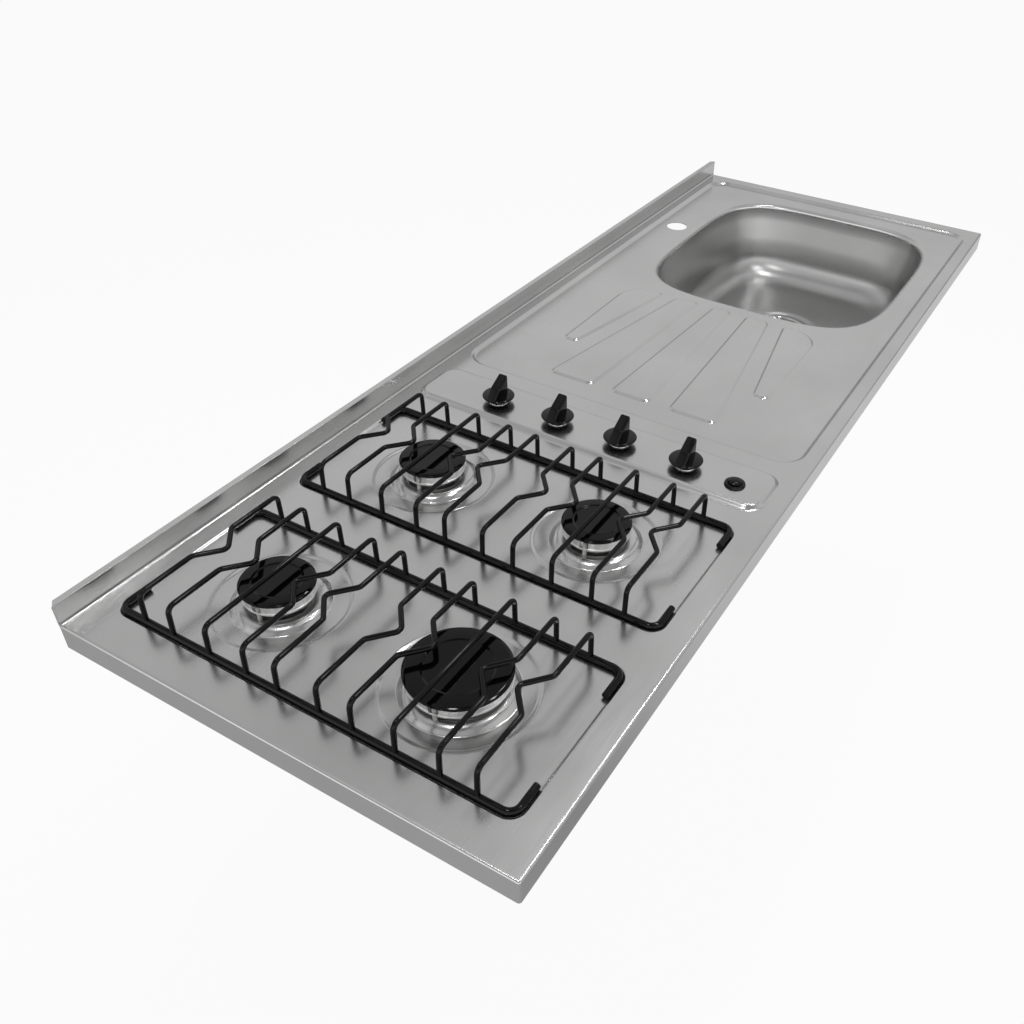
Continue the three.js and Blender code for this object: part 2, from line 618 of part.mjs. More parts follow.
// One pan support: two base wires with turned-in ends, joined by ten bridging cross wires.
function panSupport(centreX) {
  const baseZ = -WELL.depth + CONTACT + BASE_WIRE;
  const at = (x, y, z) => new THREE.Vector3(centreX + x, HOB_MIDDLE_Y + y, z);
  let support = null;
  const weld = (geometry) => {
    const piece = solid(geometry);
    support = support ? support.add(piece) : piece;
  };
  const span = SUPPORT.halfY;
  for (const side of [-1, 1]) {
    const outer = side * SUPPORT.halfX;
    const tip = side * (SUPPORT.halfX - SUPPORT.end);
    weld(wire([at(tip, -span, baseZ), at(outer, -span, baseZ), at(outer, span, baseZ),
      at(tip, span, baseZ)], BASE_WIRE, SUPPORT.bend));
  }
  const foot = baseZ + BASE_WIRE * 0.4;
  const top = SUPPORT.wireTop;
  BURNER_Y.forEach((burnerY) => {
    const middle = burnerY - HOB_MIDDLE_Y;
    WIRE_OFFSETS.forEach((offset) => {
      const y = middle + offset;
      const tip = y - Math.sign(offset) * KINK.depth;
      const kink = offset === 0 ? [] : [at(-KINK.halfX, y, top), at(0, tip, top),
        at(KINK.halfX, y, top)];
      weld(wire([at(-SUPPORT.halfX, y, foot), at(-SUPPORT.halfX + 1, y, top), ...kink,
        at(SUPPORT.halfX - 1, y, top), at(SUPPORT.halfX, y, foot)], CROSS_WIRE, 8));
    });
  });
  return geometryOf(support);
}

// ---- Knobs, taps and gas supply -----------------------------------------------------------
const STRIP_TOP = STRIP.height;
const KNOB_FOOT = STRIP_TOP + 4.2;
const GRIP_WIDTH = 13;
const SPINDLE = { radius: 4, flat: 3, foot: -19, top: 21 };

// A round shaft with one flat, which turns what it is pushed into.
function flattedShaft(radius, flat, z0, z1) {
  const cosine = flat / radius;
  const start = THREE.MathUtils.radToDeg(Math.acos(cosine));
  return extrude(arc(0, 0, radius, start, 360 - start, 8), z1 - z0).translate(0, 0, z0);
}

// Knob: a round skirt that narrows underneath, and a tall grip that slopes towards the hob.
function knob() {
  const z = KNOB_FOOT;
  const body = solid(turned([[0, z], [15, z], [20, z + 3.6], [20.5, z + 4.8], [19.4, z + 6],
    [0, z + 7.2]], 0, 0));
  const side = [[-18.4, z + 5], [13.2, z + 5], [12.4, z + 28.6], [11, z + 29.4], [-8, z + 18]];
  const grip = extrudeAlongY(side, -GRIP_WIDTH / 2, GRIP_WIDTH / 2);
  const bore = flattedShaft(SPINDLE.radius + 0.15, SPINDLE.flat + 0.15, z - 1, SPINDLE.top + 0.6);
  return geometryOf(body.add(solid(grip)).subtract(solid(bore)));
}

function spindle() {
  return flattedShaft(SPINDLE.radius, SPINDLE.flat, SPINDLE.foot, SPINDLE.top);
}

// Chromed ring clipped into the strip round each spindle.
function knobBezel() {
  const z = STRIP_TOP + CONTACT;
  return turned([[4.6, z - 4.5], [8, z - 4.5], [8, z], [12.6, z], [12, z + 1.2],
    [4.6, z + 1.2]], 0, 0, SMALL_ROUND);
}

// Tapered plug that opens and shuts the gas, turned by the spindle sliding in its socket.
function tapPlug() {
  const plug = solid(turned([[0, -33.6], [5.6, -33.6], [6.9, -11], [0, -11]], 0, 0, SMALL_ROUND));
  const socket = flattedShaft(SPINDLE.radius + 0.15, SPINDLE.flat + 0.15, -24, -10);
  return geometryOf(plug.subtract(solid(socket)));
}

// Tap body: tapered seat for the plug, neck up to the sheet, outlet towards the hob.
function tapBody() {
  const top = STRIP_TOP - SHEET - CONTACT;
  const shell = solid(turned([[0, -39], [11, -39], [11, -12], [7, -8], [7, top - 5],
    [4.4, top - 5], [4.4, -10.4], [7.2, -10.4], [5.9, -34], [0, -34]], 0, 0, SMALL_ROUND));
  const outlet = new THREE.CylinderGeometry(6.4, 6.4, 10, 6).rotateZ(Math.PI / 2)
    .translate(-15, 0, OUTLET_Z);
  return geometryOf(shell.add(solid(outlet)));
}

// Supply pipe under the four taps, with a flat saddle for each and a capped far end.
function gasRail() {
  const long = RAIL.y1 - RAIL.y0;
  let rail = solid(new THREE.CylinderGeometry(RAIL.radius, RAIL.radius, long, 10)
    .translate(RAIL.x, (RAIL.y0 + RAIL.y1) / 2, RAIL.z));
  KNOB_Y.forEach((y) => {
    rail = rail.add(solid(block(RAIL.x - 10, RAIL.x + 10, y - 11, y + 11, RAIL.z - 3,
      -39 - CONTACT)));
  });
  return geometryOf(rail);
}

// Threaded gas inlet at the rail's rear end, turned down towards the cabinet.
function gasInlet() {
  const y = RAIL.y1 + CONTACT;
  const nut = new THREE.CylinderGeometry(13, 13, 14, 6).translate(RAIL.x, y + 7, RAIL.z);
  const run = new THREE.CylinderGeometry(9, 9, 18, 12).translate(RAIL.x, y + 18, RAIL.z);
  const drop = cylinder(RAIL.x, y + 26, 9.5, RAIL.z - 34, RAIL.z + 9);
  const bore = cylinder(RAIL.x, y + 26, 5.5, RAIL.z - 35, RAIL.z - 8);
  return geometryOf(solid(nut).add(solid(run)).add(solid(drop)).subtract(solid(bore)));
}

// Galvanised bracket that hangs the rail from the underside of the strip.
function railBracket(y) {
  const under = STRIP_TOP - SHEET - CONTACT;
  const foot = RAIL.z - RAIL.radius - 4;
  const strap = [[-24, under], [24, under], [24, under - 2], [15, under - 2], [15, foot],
    [-15, foot], [-15, under - 2], [-24, under - 2]];
  const sheet = solid(extrudeAlongY(strap, y - 8, y + 8).translate(RAIL.x, 0, 0));
  const window = solid(block(RAIL.x - 13, RAIL.x + 13, y - 9, y + 9, RAIL.z + 10, under - 2));
  const hole = new THREE.CylinderGeometry(RAIL.radius + 0.4, RAIL.radius + 0.4, 20, 12)
    .translate(RAIL.x, y, RAIL.z);
  return geometryOf(sheet.subtract(window).subtract(solid(hole)));
}

// Bent gas pipe from a tap's outlet to its burner's injector holder.
function feedTube(burner) {
  const startX = KNOB_X - 20 - CONTACT;
  const endX = burner.x + burner.size.cup + 8 + CONTACT;
  const tapY = KNOB_Y[burner.tap];
  const jog = Math.abs(burner.y - tapY);
  const turnX = Math.max(endX + 16, 60 + (burner.x > 250 ? 400 : 170));
  const corner = (x, y) => new THREE.Vector3(x, y, OUTLET_Z);
  const route = [corner(startX, tapY), corner(turnX + jog * 0.6 + 6, tapY),
    corner(turnX, burner.y), corner(endX, burner.y)];
  return wire(route, TUBE_RADIUS, 16, 6);
}

// ---- Ignition ---------------------------------------------------------------------------
function buttonCollar() {
  const z = STRIP_TOP + CONTACT;
  return turned([[8.5, z - 11], [9.2, z - 11], [9.2, z], [12.7, z], [11.8, z + 2.2],
    [8.5, z + 2.6]], BUTTON.x, BUTTON.y, SMALL_ROUND);
}

function ignitionButton() {
  const z = STRIP_TOP;
  return turned([[0, z - 14.5], [9.2, z - 14.5], [9.2, z - 11.2], [8.1, z - 11.2],
    [8.1, z + 4.6], [6, z + 6.2], [0, z + 6.9]], BUTTON.x, BUTTON.y, SMALL_ROUND);
}

// Spark generator: a potted box under the drainer, with a row of lead terminals.
function sparkGenerator() {
  const top = -RECESS.depth - SHEET - CONTACT;
  const body = roundedOutline(rectangleCorners(640, 700, 45, 85), [4, 4, 4, 4], 0, 1);
  let box = solid(skin([ringAt(body, top - 26), ringAt(body, top)]));
  for (let i = 0; i < 4; i += 1) {
    box = box.add(solid(cylinder(648 + i * 14.5, 55, 3, top - 34, top - 25, 6)));
  }
  return geometryOf(box);
}

// Hat-section channel bonded under the drainer, across the sheet.
function stiffener(x) {
  const top = -RECESS.depth - SHEET - CONTACT;
  const hat = [[-22, top], [-10, top], [-8, top - 14], [8, top - 14], [10, top], [22, top],
    [22, top - 1.2], [11.2, top - 1.2], [9.2, top - 15.2], [-9.2, top - 15.2],
    [-11.2, top - 1.2], [-22, top - 1.2]];
  return extrudeAlongY(hat, 40, 480).translate(x, 0, 0);
}

// ---- Assembly -----------------------------------------------------------------------------
const kitchenette = new THREE.Group();
kitchenette.position.set(-LENGTH / 2, -UPSTAND_FACE, APRON);

function place(name, shape, look, x = 0, y = 0) {
  const geometry = shape.isBufferGeometry ? shape : geometryOf(shape);
  const { place: places, corners } = closedMesh(geometry);
  const clean = new THREE.BufferGeometry();
  clean.setAttribute('position', new THREE.BufferAttribute(Float32Array.from(places), 3));
  clean.setIndex(corners);
  clean.computeVertexNormals();
  const mesh = new THREE.Mesh(clean, new THREE.MeshStandardMaterial(look));
  mesh.name = name;
  mesh.position.set(x, y, 0);
  kitchenette.add(mesh);
}

place('worktop_sheet', worktopSheet(), BRUSHED_STEEL);
place('sink_bowl', sinkBowl(), BRUSHED_STEEL);
place('strainer_cup', strainerCup(), POLISHED_STEEL);
place('drain_gasket', drainGasket(), RUBBER);
place('drain_locknut', drainLocknut(), GREY_PLASTIC);
place('tail_nut', tailNut(), GREY_PLASTIC);
place('drain_tailpiece', drainTailpiece(), GREY_PLASTIC);
place('strainer_basket', strainerBasket(), POLISHED_STEEL);

BURNERS.forEach((burner) => {
  place(`burner_cup_${burner.name}`, burnerCup(burner), ALUMINIUM);
  place(`burner_crown_${burner.name}`, burnerCrown(burner), ALUMINIUM);
  place(`burner_cap_${burner.name}`, burnerCap(burner), BLACK_ENAMEL);
  place(`electrode_${burner.name}`, electrode(burner), CERAMIC);
  place(`feed_tube_${burner.name}`, feedTube(burner), ALUMINIUM);
});

place('pan_support_left', panSupport(BURNER_X[0]), BLACK_ENAMEL);
place('pan_support_right', panSupport(BURNER_X[1]), BLACK_ENAMEL);

KNOB_Y.forEach((y, i) => {
  place(`knob_bezel_${i + 1}`, knobBezel(), POLISHED_STEEL, KNOB_X, y);
  place(`tap_body_${i + 1}`, tapBody(), BRASS, KNOB_X, y);
  place(`tap_plug_${i + 1}`, tapPlug(), BRASS, KNOB_X, y);
  place(`tap_spindle_${i + 1}`, spindle(), POLISHED_STEEL, KNOB_X, y);
  place(`knob_${i + 1}`, knob(), BLACK_PLASTIC, KNOB_X, y);
});

place('gas_rail', gasRail(), GALVANISED);
place('gas_inlet', gasInlet(), BRASS);
place('rail_bracket_front', railBracket(174.5), GALVANISED);
place('rail_bracket_rear', railBracket(350.5), GALVANISED);
place('button_collar', buttonCollar(), BLACK_PLASTIC);
place('ignition_button', ignitionButton(), BLACK_PLASTIC);
place('spark_generator', sparkGenerator(), BLACK_PLASTIC);
place('stiffener_left', stiffener(745), GALVANISED);
place('stiffener_right', stiffener(905), GALVANISED);

export default kitchenette;
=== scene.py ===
import math

import bmesh
import bpy
from mathutils import Matrix, Vector


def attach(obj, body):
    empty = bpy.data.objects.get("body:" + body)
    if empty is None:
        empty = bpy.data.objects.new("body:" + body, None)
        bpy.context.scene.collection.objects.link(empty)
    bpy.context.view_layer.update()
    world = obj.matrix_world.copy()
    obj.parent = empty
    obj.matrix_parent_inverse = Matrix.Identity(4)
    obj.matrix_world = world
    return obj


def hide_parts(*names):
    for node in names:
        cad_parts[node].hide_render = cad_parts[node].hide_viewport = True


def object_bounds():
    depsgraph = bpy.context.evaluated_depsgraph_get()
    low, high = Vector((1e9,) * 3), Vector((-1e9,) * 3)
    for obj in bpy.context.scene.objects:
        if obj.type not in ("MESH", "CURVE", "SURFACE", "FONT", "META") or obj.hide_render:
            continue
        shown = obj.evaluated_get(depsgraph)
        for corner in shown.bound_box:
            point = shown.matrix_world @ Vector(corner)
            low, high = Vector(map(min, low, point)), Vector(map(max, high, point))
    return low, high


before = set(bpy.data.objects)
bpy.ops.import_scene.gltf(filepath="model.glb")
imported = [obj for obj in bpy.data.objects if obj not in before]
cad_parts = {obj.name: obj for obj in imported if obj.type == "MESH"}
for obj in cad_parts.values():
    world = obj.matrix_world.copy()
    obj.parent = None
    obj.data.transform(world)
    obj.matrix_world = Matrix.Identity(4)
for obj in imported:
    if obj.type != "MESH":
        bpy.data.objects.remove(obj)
cad_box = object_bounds()

# ---- Camera ------------------------------------------------------------------------------------
# A phone held over the hob end, looking along the worktop and down at about 39 degrees.
# Its turn is a heading about the vertical, a tilt up from straight down, and a slight roll.
camera_data = bpy.data.cameras.new("camera")
camera_data.sensor_width = 36
camera_data.lens = 35.14
camera_data.shift_x = -0.0617
camera_data.shift_y = 0.0200
camera_data.clip_end = 30
camera = bpy.data.objects.new("camera", camera_data)
heading = Matrix.Rotation(math.radians(-60.746), 4, "Z")
tilt = Matrix.Rotation(math.radians(51.149), 4, "X")
roll = Matrix.Rotation(math.radians(2.024), 4, "Z")
camera.matrix_world = Matrix.Translation((-1.0989, -0.7523, 0.7060)) @ heading @ tilt @ roll
bpy.context.scene.collection.objects.link(camera)
bpy.context.scene.camera = camera

# ---- Studio ------------------------------------------------------------------------------------
# A pale floor at a kitchen's height below the worktop, two broad soft lamps and three small
# ceiling lamps, and a white surround. The steel mirrors a grey room: bright low down behind the
# hob, darker beyond the sink and overhead, so that pressed edges show as thin lines.
bpy.context.scene.view_settings.view_transform = "Standard"

world = bpy.data.worlds.new("studio")
bpy.context.scene.world = world
world.use_nodes = True
nodes, links = world.node_tree.nodes, world.node_tree.links
nodes.clear()
rays = nodes.new("ShaderNodeLightPath")
lit = nodes.new("ShaderNodeBackground")
lit.inputs["Color"].default_value = (1, 1, 1, 1)
lit.inputs["Strength"].default_value = 0.6
seen = nodes.new("ShaderNodeBackground")
seen.inputs["Color"].default_value = (1, 1, 1, 1)
seen.inputs["Strength"].default_value = 1.0
glossy = nodes.new("ShaderNodeBackground")
glossy.inputs["Strength"].default_value = 1.6


def grey_ramp(nodes, links, value, stops):
    """Greys along a 0 to 1 value, each at its place."""
    ramp = nodes.new("ShaderNodeValToRGB")
    while len(ramp.color_ramp.elements) < len(stops):
        ramp.color_ramp.elements.new(0.5)
    for element, (place, grey) in zip(ramp.color_ramp.elements, stops):
        element.position = place
        element.color = (grey, grey, grey, 1)
    links.new(value, ramp.inputs["Fac"])
    return ramp.outputs["Color"]


TOWARDS_SINK = (0.87, 0.49, 0)
direction = nodes.new("ShaderNodeTexCoord")
split = nodes.new("ShaderNodeSeparateXYZ")
links.new(direction.outputs["Generated"], split.inputs["Vector"])
ahead = grey_ramp(nodes, links, split.outputs["Z"], [
    (0.0, 0.14), (0.12, 0.21), (0.3, 0.39), (0.45, 0.46), (0.62, 0.41), (0.75, 0.31), (0.83, 0.28),
    (0.9, 0.42), (0.95, 0.38), (1.0, 0.1)])
behind = grey_ramp(nodes, links, split.outputs["Z"], [
    (0.0, 0.5), (0.06, 1.0), (0.26, 1.0), (0.4, 0.55), (0.6, 0.38), (0.74, 0.22), (0.9, 0.14),
    (1.0, 0.1)])
forward = nodes.new("ShaderNodeVectorMath")
forward.operation = "DOT_PRODUCT"
forward.inputs[1].default_value = TOWARDS_SINK
links.new(direction.outputs["Generated"], forward.inputs[0])
turned_to = nodes.new("ShaderNodeMapRange")
turned_to.interpolation_type = "SMOOTHSTEP"
turned_to.inputs["From Min"].default_value = -0.45
turned_to.inputs["From Max"].default_value = -0.05
links.new(forward.outputs["Value"], turned_to.inputs["Value"])
room = nodes.new("ShaderNodeMix")
room.data_type = "RGBA"
links.new(turned_to.outputs["Result"], room.inputs["Factor"])
links.new(behind, room.inputs["A"])
links.new(ahead, room.inputs["B"])
links.new(room.outputs["Result"], glossy.inputs["Color"])
shine = nodes.new("ShaderNodeMixShader")
links.new(rays.outputs["Is Glossy Ray"], shine.inputs["Fac"])
links.new(lit.outputs["Background"], shine.inputs[1])
links.new(glossy.outputs["Background"], shine.inputs[2])
direct = nodes.new("ShaderNodeMath")
direct.operation = "MAXIMUM"
links.new(rays.outputs["Is Camera Ray"], direct.inputs[0])
links.new(rays.outputs["Is Transmission Ray"], direct.inputs[1])
shown = nodes.new("ShaderNodeMixShader")
links.new(direct.outputs["Value"], shown.inputs["Fac"])
links.new(shine.outputs["Shader"], shown.inputs[1])
links.new(seen.outputs["Background"], shown.inputs[2])
surround = nodes.new("ShaderNodeOutputWorld")
links.new(shown.outputs["Shader"], surround.inputs["Surface"])


def softbox(name, place, aim, width, length, power, mirrored=True):
    """A studio lamp at a place, facing a point; the broad ones aren't mirrored in the steel."""
    data = bpy.data.lights.new(name, "AREA")
    data.shape = "RECTANGLE"
    data.size, data.size_y = width, length
    data.energy = power
    data.cycles.max_bounces = 1     # more would speckle the bowl
    lamp = bpy.data.objects.new(name, data)
    facing = (Vector(aim) - Vector(place)).to_track_quat("-Z", "Y")
    lamp.matrix_world = Matrix.Translation(place) @ facing.to_matrix().to_4x4()
    lamp.visible_glossy = mirrored
    bpy.context.scene.collection.objects.link(lamp)


HOB_MIDDLE = (-0.4, -0.25, 0)
softbox("softbox_over_sink", (1.6, -1.3, 2.0), (0.2, -0.25, 0), 1.0, 1.6, 16, mirrored=False)
softbox("softbox_over_hob", (-1.4, 0.9, 1.7), HOB_MIDDLE, 0.8, 1.2, 8, mirrored=False)
for i, spot in enumerate([(-1.02, -0.4, 1.7), (-0.03, -1.1, 1.7), (0.45, -0.4, 1.7)], start=1):
    softbox(f"ceiling_lamp_{i}", spot, HOB_MIDDLE, 0.2, 0.2, 3.6)

FLOOR_DEPTH = 0.87
FLOOR_HALF = 9
floor_bm = bmesh.new()
bmesh.ops.create_grid(floor_bm, x_segments=1, y_segments=1, size=FLOOR_HALF)
floor_bm.transform(Matrix.Translation((0, 0, -FLOOR_DEPTH)))
floor_mesh = bpy.data.meshes.new("floor")
floor_bm.to_mesh(floor_mesh)
floor_bm.free()
floor = bpy.data.objects.new("floor", floor_mesh)
bpy.context.scene.collection.objects.link(floor)
pale = bpy.data.materials.new("pale_floor")
pale.use_nodes = True
nodes, links = pale.node_tree.nodes, pale.node_tree.links
nodes.clear()
rays = nodes.new("ShaderNodeLightPath")
matte = nodes.new("ShaderNodeBsdfDiffuse")
matte.inputs["Color"].default_value = (0.88, 0.88, 0.88, 1)
spot_on_floor = nodes.new("ShaderNodeTexCoord")
split = nodes.new("ShaderNodeSeparateXYZ")
links.new(spot_on_floor.outputs["Object"], split.inputs["Vector"])
along = nodes.new("ShaderNodeMapRange")
along.inputs["From Min"].default_value = -1.6
along.inputs["From Max"].default_value = 1.4
links.new(split.outputs["X"], along.inputs["Value"])
# Painted reflection: to glossy rays the floor glows in greys that change along its length, darkest
# near its middle, in place of its own shading.
floor_painted_reflection = nodes.new("ShaderNodeEmission")
links.new(grey_ramp(nodes, links, along.outputs["Result"], [
    (0.0, 0.5), (0.35, 0.42), (0.5, 0.34), (0.62, 0.52), (0.74, 0.64), (0.88, 0.72), (1.0, 0.7)]),
    floor_painted_reflection.inputs["Color"])
glow = nodes.new("ShaderNodeEmission")
glow.inputs["Strength"].default_value = 1.0
seen_here = nodes.new("ShaderNodeMath")
seen_here.operation = "MAXIMUM"
links.new(rays.outputs["Is Camera Ray"], seen_here.inputs[0])
links.new(rays.outputs["Is Transmission Ray"], seen_here.inputs[1])
part_glow = nodes.new("ShaderNodeMath")
part_glow.operation = "MULTIPLY"
part_glow.inputs[1].default_value = 0.9
links.new(seen_here.outputs["Value"], part_glow.inputs[0])
floor_shine = nodes.new("ShaderNodeMixShader")
links.new(rays.outputs["Is Glossy Ray"], floor_shine.inputs["Fac"])
links.new(matte.outputs["BSDF"], floor_shine.inputs[1])
links.new(floor_painted_reflection.outputs["Emission"], floor_shine.inputs[2])
floor_mix = nodes.new("ShaderNodeMixShader")
links.new(part_glow.outputs["Value"], floor_mix.inputs["Fac"])
links.new(floor_shine.outputs["Shader"], floor_mix.inputs[1])
links.new(glow.outputs["Emission"], floor_mix.inputs[2])
floor_out = nodes.new("ShaderNodeOutputMaterial")
links.new(floor_mix.outputs["Shader"], floor_out.inputs["Surface"])
floor_mesh.materials.append(pale)

# ---- Worktop sheet -----------------------------------------------------------------------------
# One pressed stainless sheet, 1 mm thick: folded aprons and upstand, hob wells, burner collars,
# the raised strip, the drainer's field and ribs, and the rolled edge round the bowl.
LENGTH = 1500
DEPTH = 528
APRON = 28
SHEET = 1
UPSTAND_FACE = 520
UPSTAND_HEIGHT = 25
END_SLANT = 6.5
FOLD = 3
LEDGE_ROUND = 0.9
FLANGE = 15
MOUTH_CORNER = 2
# Pieces are made in millimetres from the worktop's front left corner, with z = 0 on its top.
NEAR = 0.01
WELD = 0.002
PLACE = Matrix.Translation((cad_box[0].x, cad_box[0].y, APRON / 1000)) @ Matrix.Scale(0.001, 4)

WELLS = [(139.5, 264), (389.5, 264)]
WELL_HALF = (99, 234.5)
WELL_CORNER = 18
WELL_DEPTH = 2
WELL_WALL = 4
STRIP = (519, 604, 21, 503)
STRIP_CORNER = 24
STRIP_HEIGHT = 5
STRIP_WALL = 8
RECESS = (630, 1477, 17, 506)
RECESS_CORNER = 36
RECESS_DEPTH = 4
RECESS_WALL = 7
RIB_HEIGHT = 2.2
RIB_WALL = 4.5
RIB_AXIS_Y = 265.5
BOWL_CENTRE = (1214.5, 245)
BOWL_HALF = (223, 193.5)
BOWL_LIP = 7
BOWL_POINTS = 160
TAP_HOLE = (1230, 468, 17.5)
KNOB_X = 558
KNOB_Y = [394.5, 306.5, 218.5, 130.5]
BUTTON = (555, 66)
SPINDLE_HOLE = 8.6
BUTTON_HOLE = 9.6
DISH_FALL = 1.8
DISH_LAND = 3

LARGE = {"cap": 51, "crown": 49, "hole": 43.4, "foot": 57.2, "dish": 74.3, "cup": 41}
MEDIUM = {"cap": 38, "crown": 36.6, "hole": 33.6, "foot": 50.8, "dish": 69.3, "cup": 30}
BURNERS = {
    "front_left": (139.5, 155.5, LARGE),
    "rear_left": (139.5, 371.5, MEDIUM),
    "front_right": (389.5, 155.5, MEDIUM),
    "rear_right": (389.5, 371.5, MEDIUM),
}
ELECTRODE_TURN = math.radians(188)
ELECTRODE_INSET = 3.4
ELECTRODE_NOTCH = 3


def electrode_place(name):
    """Where a burner's electrode stands, just inside its crown's outer wall."""
    x, y, size = BURNERS[name]
    reach = size["crown"] - ELECTRODE_INSET
    return x + reach * math.cos(ELECTRODE_TURN), y + reach * math.sin(ELECTRODE_TURN)


def noise_on(nodes, links, scale, stretch, detail):
    """Noise on a piece's own coordinates, stretched along its grain."""
    where = nodes.new("ShaderNodeTexCoord")
    grain = nodes.new("ShaderNodeMapping")
    grain.inputs["Scale"].default_value = stretch
    noise = nodes.new("ShaderNodeTexNoise")
    noise.inputs["Scale"].default_value = scale
    noise.inputs["Detail"].default_value = detail
    links.new(where.outputs["Object"], grain.inputs["Vector"])
    links.new(grain.outputs["Vector"], noise.inputs["Vector"])
    return noise.outputs["Fac"]


def spread(nodes, links, value, low, high):
    """Maps the middle of a noise's reach onto a range."""
    remap = nodes.new("ShaderNodeMapRange")
    remap.inputs["From Min"].default_value = 0.3
    remap.inputs["From Max"].default_value = 0.7
    remap.inputs["To Min"].default_value = low
    remap.inputs["To Max"].default_value = high
    links.new(value, remap.inputs["Value"])
    return remap.outputs["Result"]


def steel(name, shade, rough, stretch, brush=0.12, wave=0.0, spread_by=0.05,
          smear_and_sheen=(7, (1, 1, 1), 0.06)):
    """Bare metal: fine brush lines along its grain, faint smears in its tone (painted sheen where
    stretched into streaks), and a slight waviness.
    """
    material = bpy.data.materials.new(name)
    material.use_nodes = True
    nodes, links = material.node_tree.nodes, material.node_tree.links
    shader = nodes["Principled BSDF"]
    shader.inputs["Metallic"].default_value = 1
    smear_and_sheen_scale, smear_and_sheen_stretch, contrast = smear_and_sheen
    lines = noise_on(nodes, links, 900, stretch, 3)
    smear_and_sheen_noise = noise_on(nodes, links, smear_and_sheen_scale, smear_and_sheen_stretch, 5)
    pale, deep = shade * (1 + contrast), shade * (1 - contrast)
    tint = nodes.new("ShaderNodeMix")
    tint.data_type = "RGBA"
    tint.inputs["A"].default_value = (deep, deep, deep * 0.995, 1)
    tint.inputs["B"].default_value = (pale, pale, pale * 0.995, 1)
    links.new(spread(nodes, links, smear_and_sheen_noise, 0, 1), tint.inputs["Factor"])
    links.new(tint.outputs["Result"], shader.inputs["Base Color"])
    blur = nodes.new("ShaderNodeMath")
    blur.operation = "ADD"
    brushed_by = spread(nodes, links, lines, rough - spread_by / 2, rough + spread_by / 2)
    links.new(brushed_by, blur.inputs[0])
    links.new(spread(nodes, links, smear_and_sheen_noise, -0.015, 0.02), blur.inputs[1])
    links.new(blur.outputs["Value"], shader.inputs["Roughness"])
    scratch = nodes.new("ShaderNodeBump")
    scratch.inputs["Strength"].default_value = brush
    scratch.inputs["Distance"].default_value = 0.00002
    links.new(lines, scratch.inputs["Height"])
    if wave:
        ripple = nodes.new("ShaderNodeBump")
        ripple.inputs["Strength"].default_value = 1.0
        ripple.inputs["Distance"].default_value = wave
        links.new(noise_on(nodes, links, 6, (1, 1, 1), 1), ripple.inputs["Height"])
        links.new(ripple.outputs["Normal"], scratch.inputs["Normal"])
    links.new(scratch.outputs["Normal"], shader.inputs["Normal"])
    return material


def finished(bm, name, material, body, stands_for=(), sharp=40, keep_normals=False):
    """Turns a bmesh in worktop millimetres into a smooth-shaded piece that rides on a body."""
    bmesh.ops.remove_doubles(bm, verts=bm.verts, dist=WELD)
    if not keep_normals:
        bmesh.ops.recalc_face_normals(bm, faces=bm.faces)
    bm.transform(PLACE)
    mesh = bpy.data.meshes.new(name)
    bm.to_mesh(mesh)
    bm.free()
    mesh.materials.append(material)
    for face in mesh.polygons:
        face.use_smooth = True
    mesh.set_sharp_from_angle(angle=math.radians(sharp))
    piece = bpy.data.objects.new(name, mesh)
    bpy.context.scene.collection.objects.link(piece)
    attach(piece, body)
    if stands_for:
        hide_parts(*stands_for)


def wall_steps(width, rise, steps=8):
    """The inset and rise of each step of a pressed wall, which leaves and meets its flats flush."""
    ease = [(1 - math.cos(math.pi * i / steps)) / 2 for i in range(steps + 1)]
    return [(width / steps, rise * (ease[i + 1] - ease[i])) for i in range(steps)]


def press(bm, face, steps, land=0.4):
    """Presses a face's middle up or down by a wall's steps, with a narrow flat land each side."""
    for inset, rise in [(land, 0), *steps, (land, 0)]:
        bmesh.ops.inset_region(bm, faces=[face], thickness=inset, depth=rise, use_even_offset=True)


def plate(bm, corners, z, radii, segments=8):
    """A flat face whose corners are rounded to the radii."""
    verts = [bm.verts.new((x, y, z)) for x, y in corners]
    bm.faces.new(verts)
    for vert, radius in zip(verts, radii):
        made = bmesh.ops.bevel(bm, geom=[vert], offset=radius, segments=segments, profile=0.5,
                               affect="VERTICES", material=-1)
    return made["verts"][0].link_faces[0]


def rectangle(x0, x1, y0, y1):
    """The four corners of a rectangle, in turn."""
    return [(x0, y0), (x1, y0), (x1, y1), (x0, y1)]


def round_face(bm, x, y, z, radius, segments=96):
    """A flat round face."""
    made = bmesh.ops.create_circle(bm, cap_ends=True, radius=radius, segments=segments,
                                   matrix=Matrix.Translation((x, y, z)))
    return made["verts"][0].link_faces[0]


def flat_between(bm, outer, inners):
    """Fills the flat between an outer face's edge and the edges of the forms pressed inside it."""
    edges = list(dict.fromkeys(e for f in [outer, *inners] for e in f.edges))
    bmesh.ops.delete(bm, geom=[outer], context="FACES_ONLY")
    filled = bmesh.ops.triangle_fill(bm, edges=edges, use_beauty=True, normal=(0, 0, 1))
    for face in filled["geom"]:
        if isinstance(face, bmesh.types.BMFace):
            face.normal_update()
            if face.normal.z < 0:
                face.normal_flip()


def arc(cx, cy, radius, start, end, steps):
    """Points on an arc, between angles in degrees."""
    turns = [math.radians(start + (end - start) * i / steps) for i in range(steps + 1)]
    return [(cx + radius * math.cos(t), cy + radius * math.sin(t)) for t in turns]


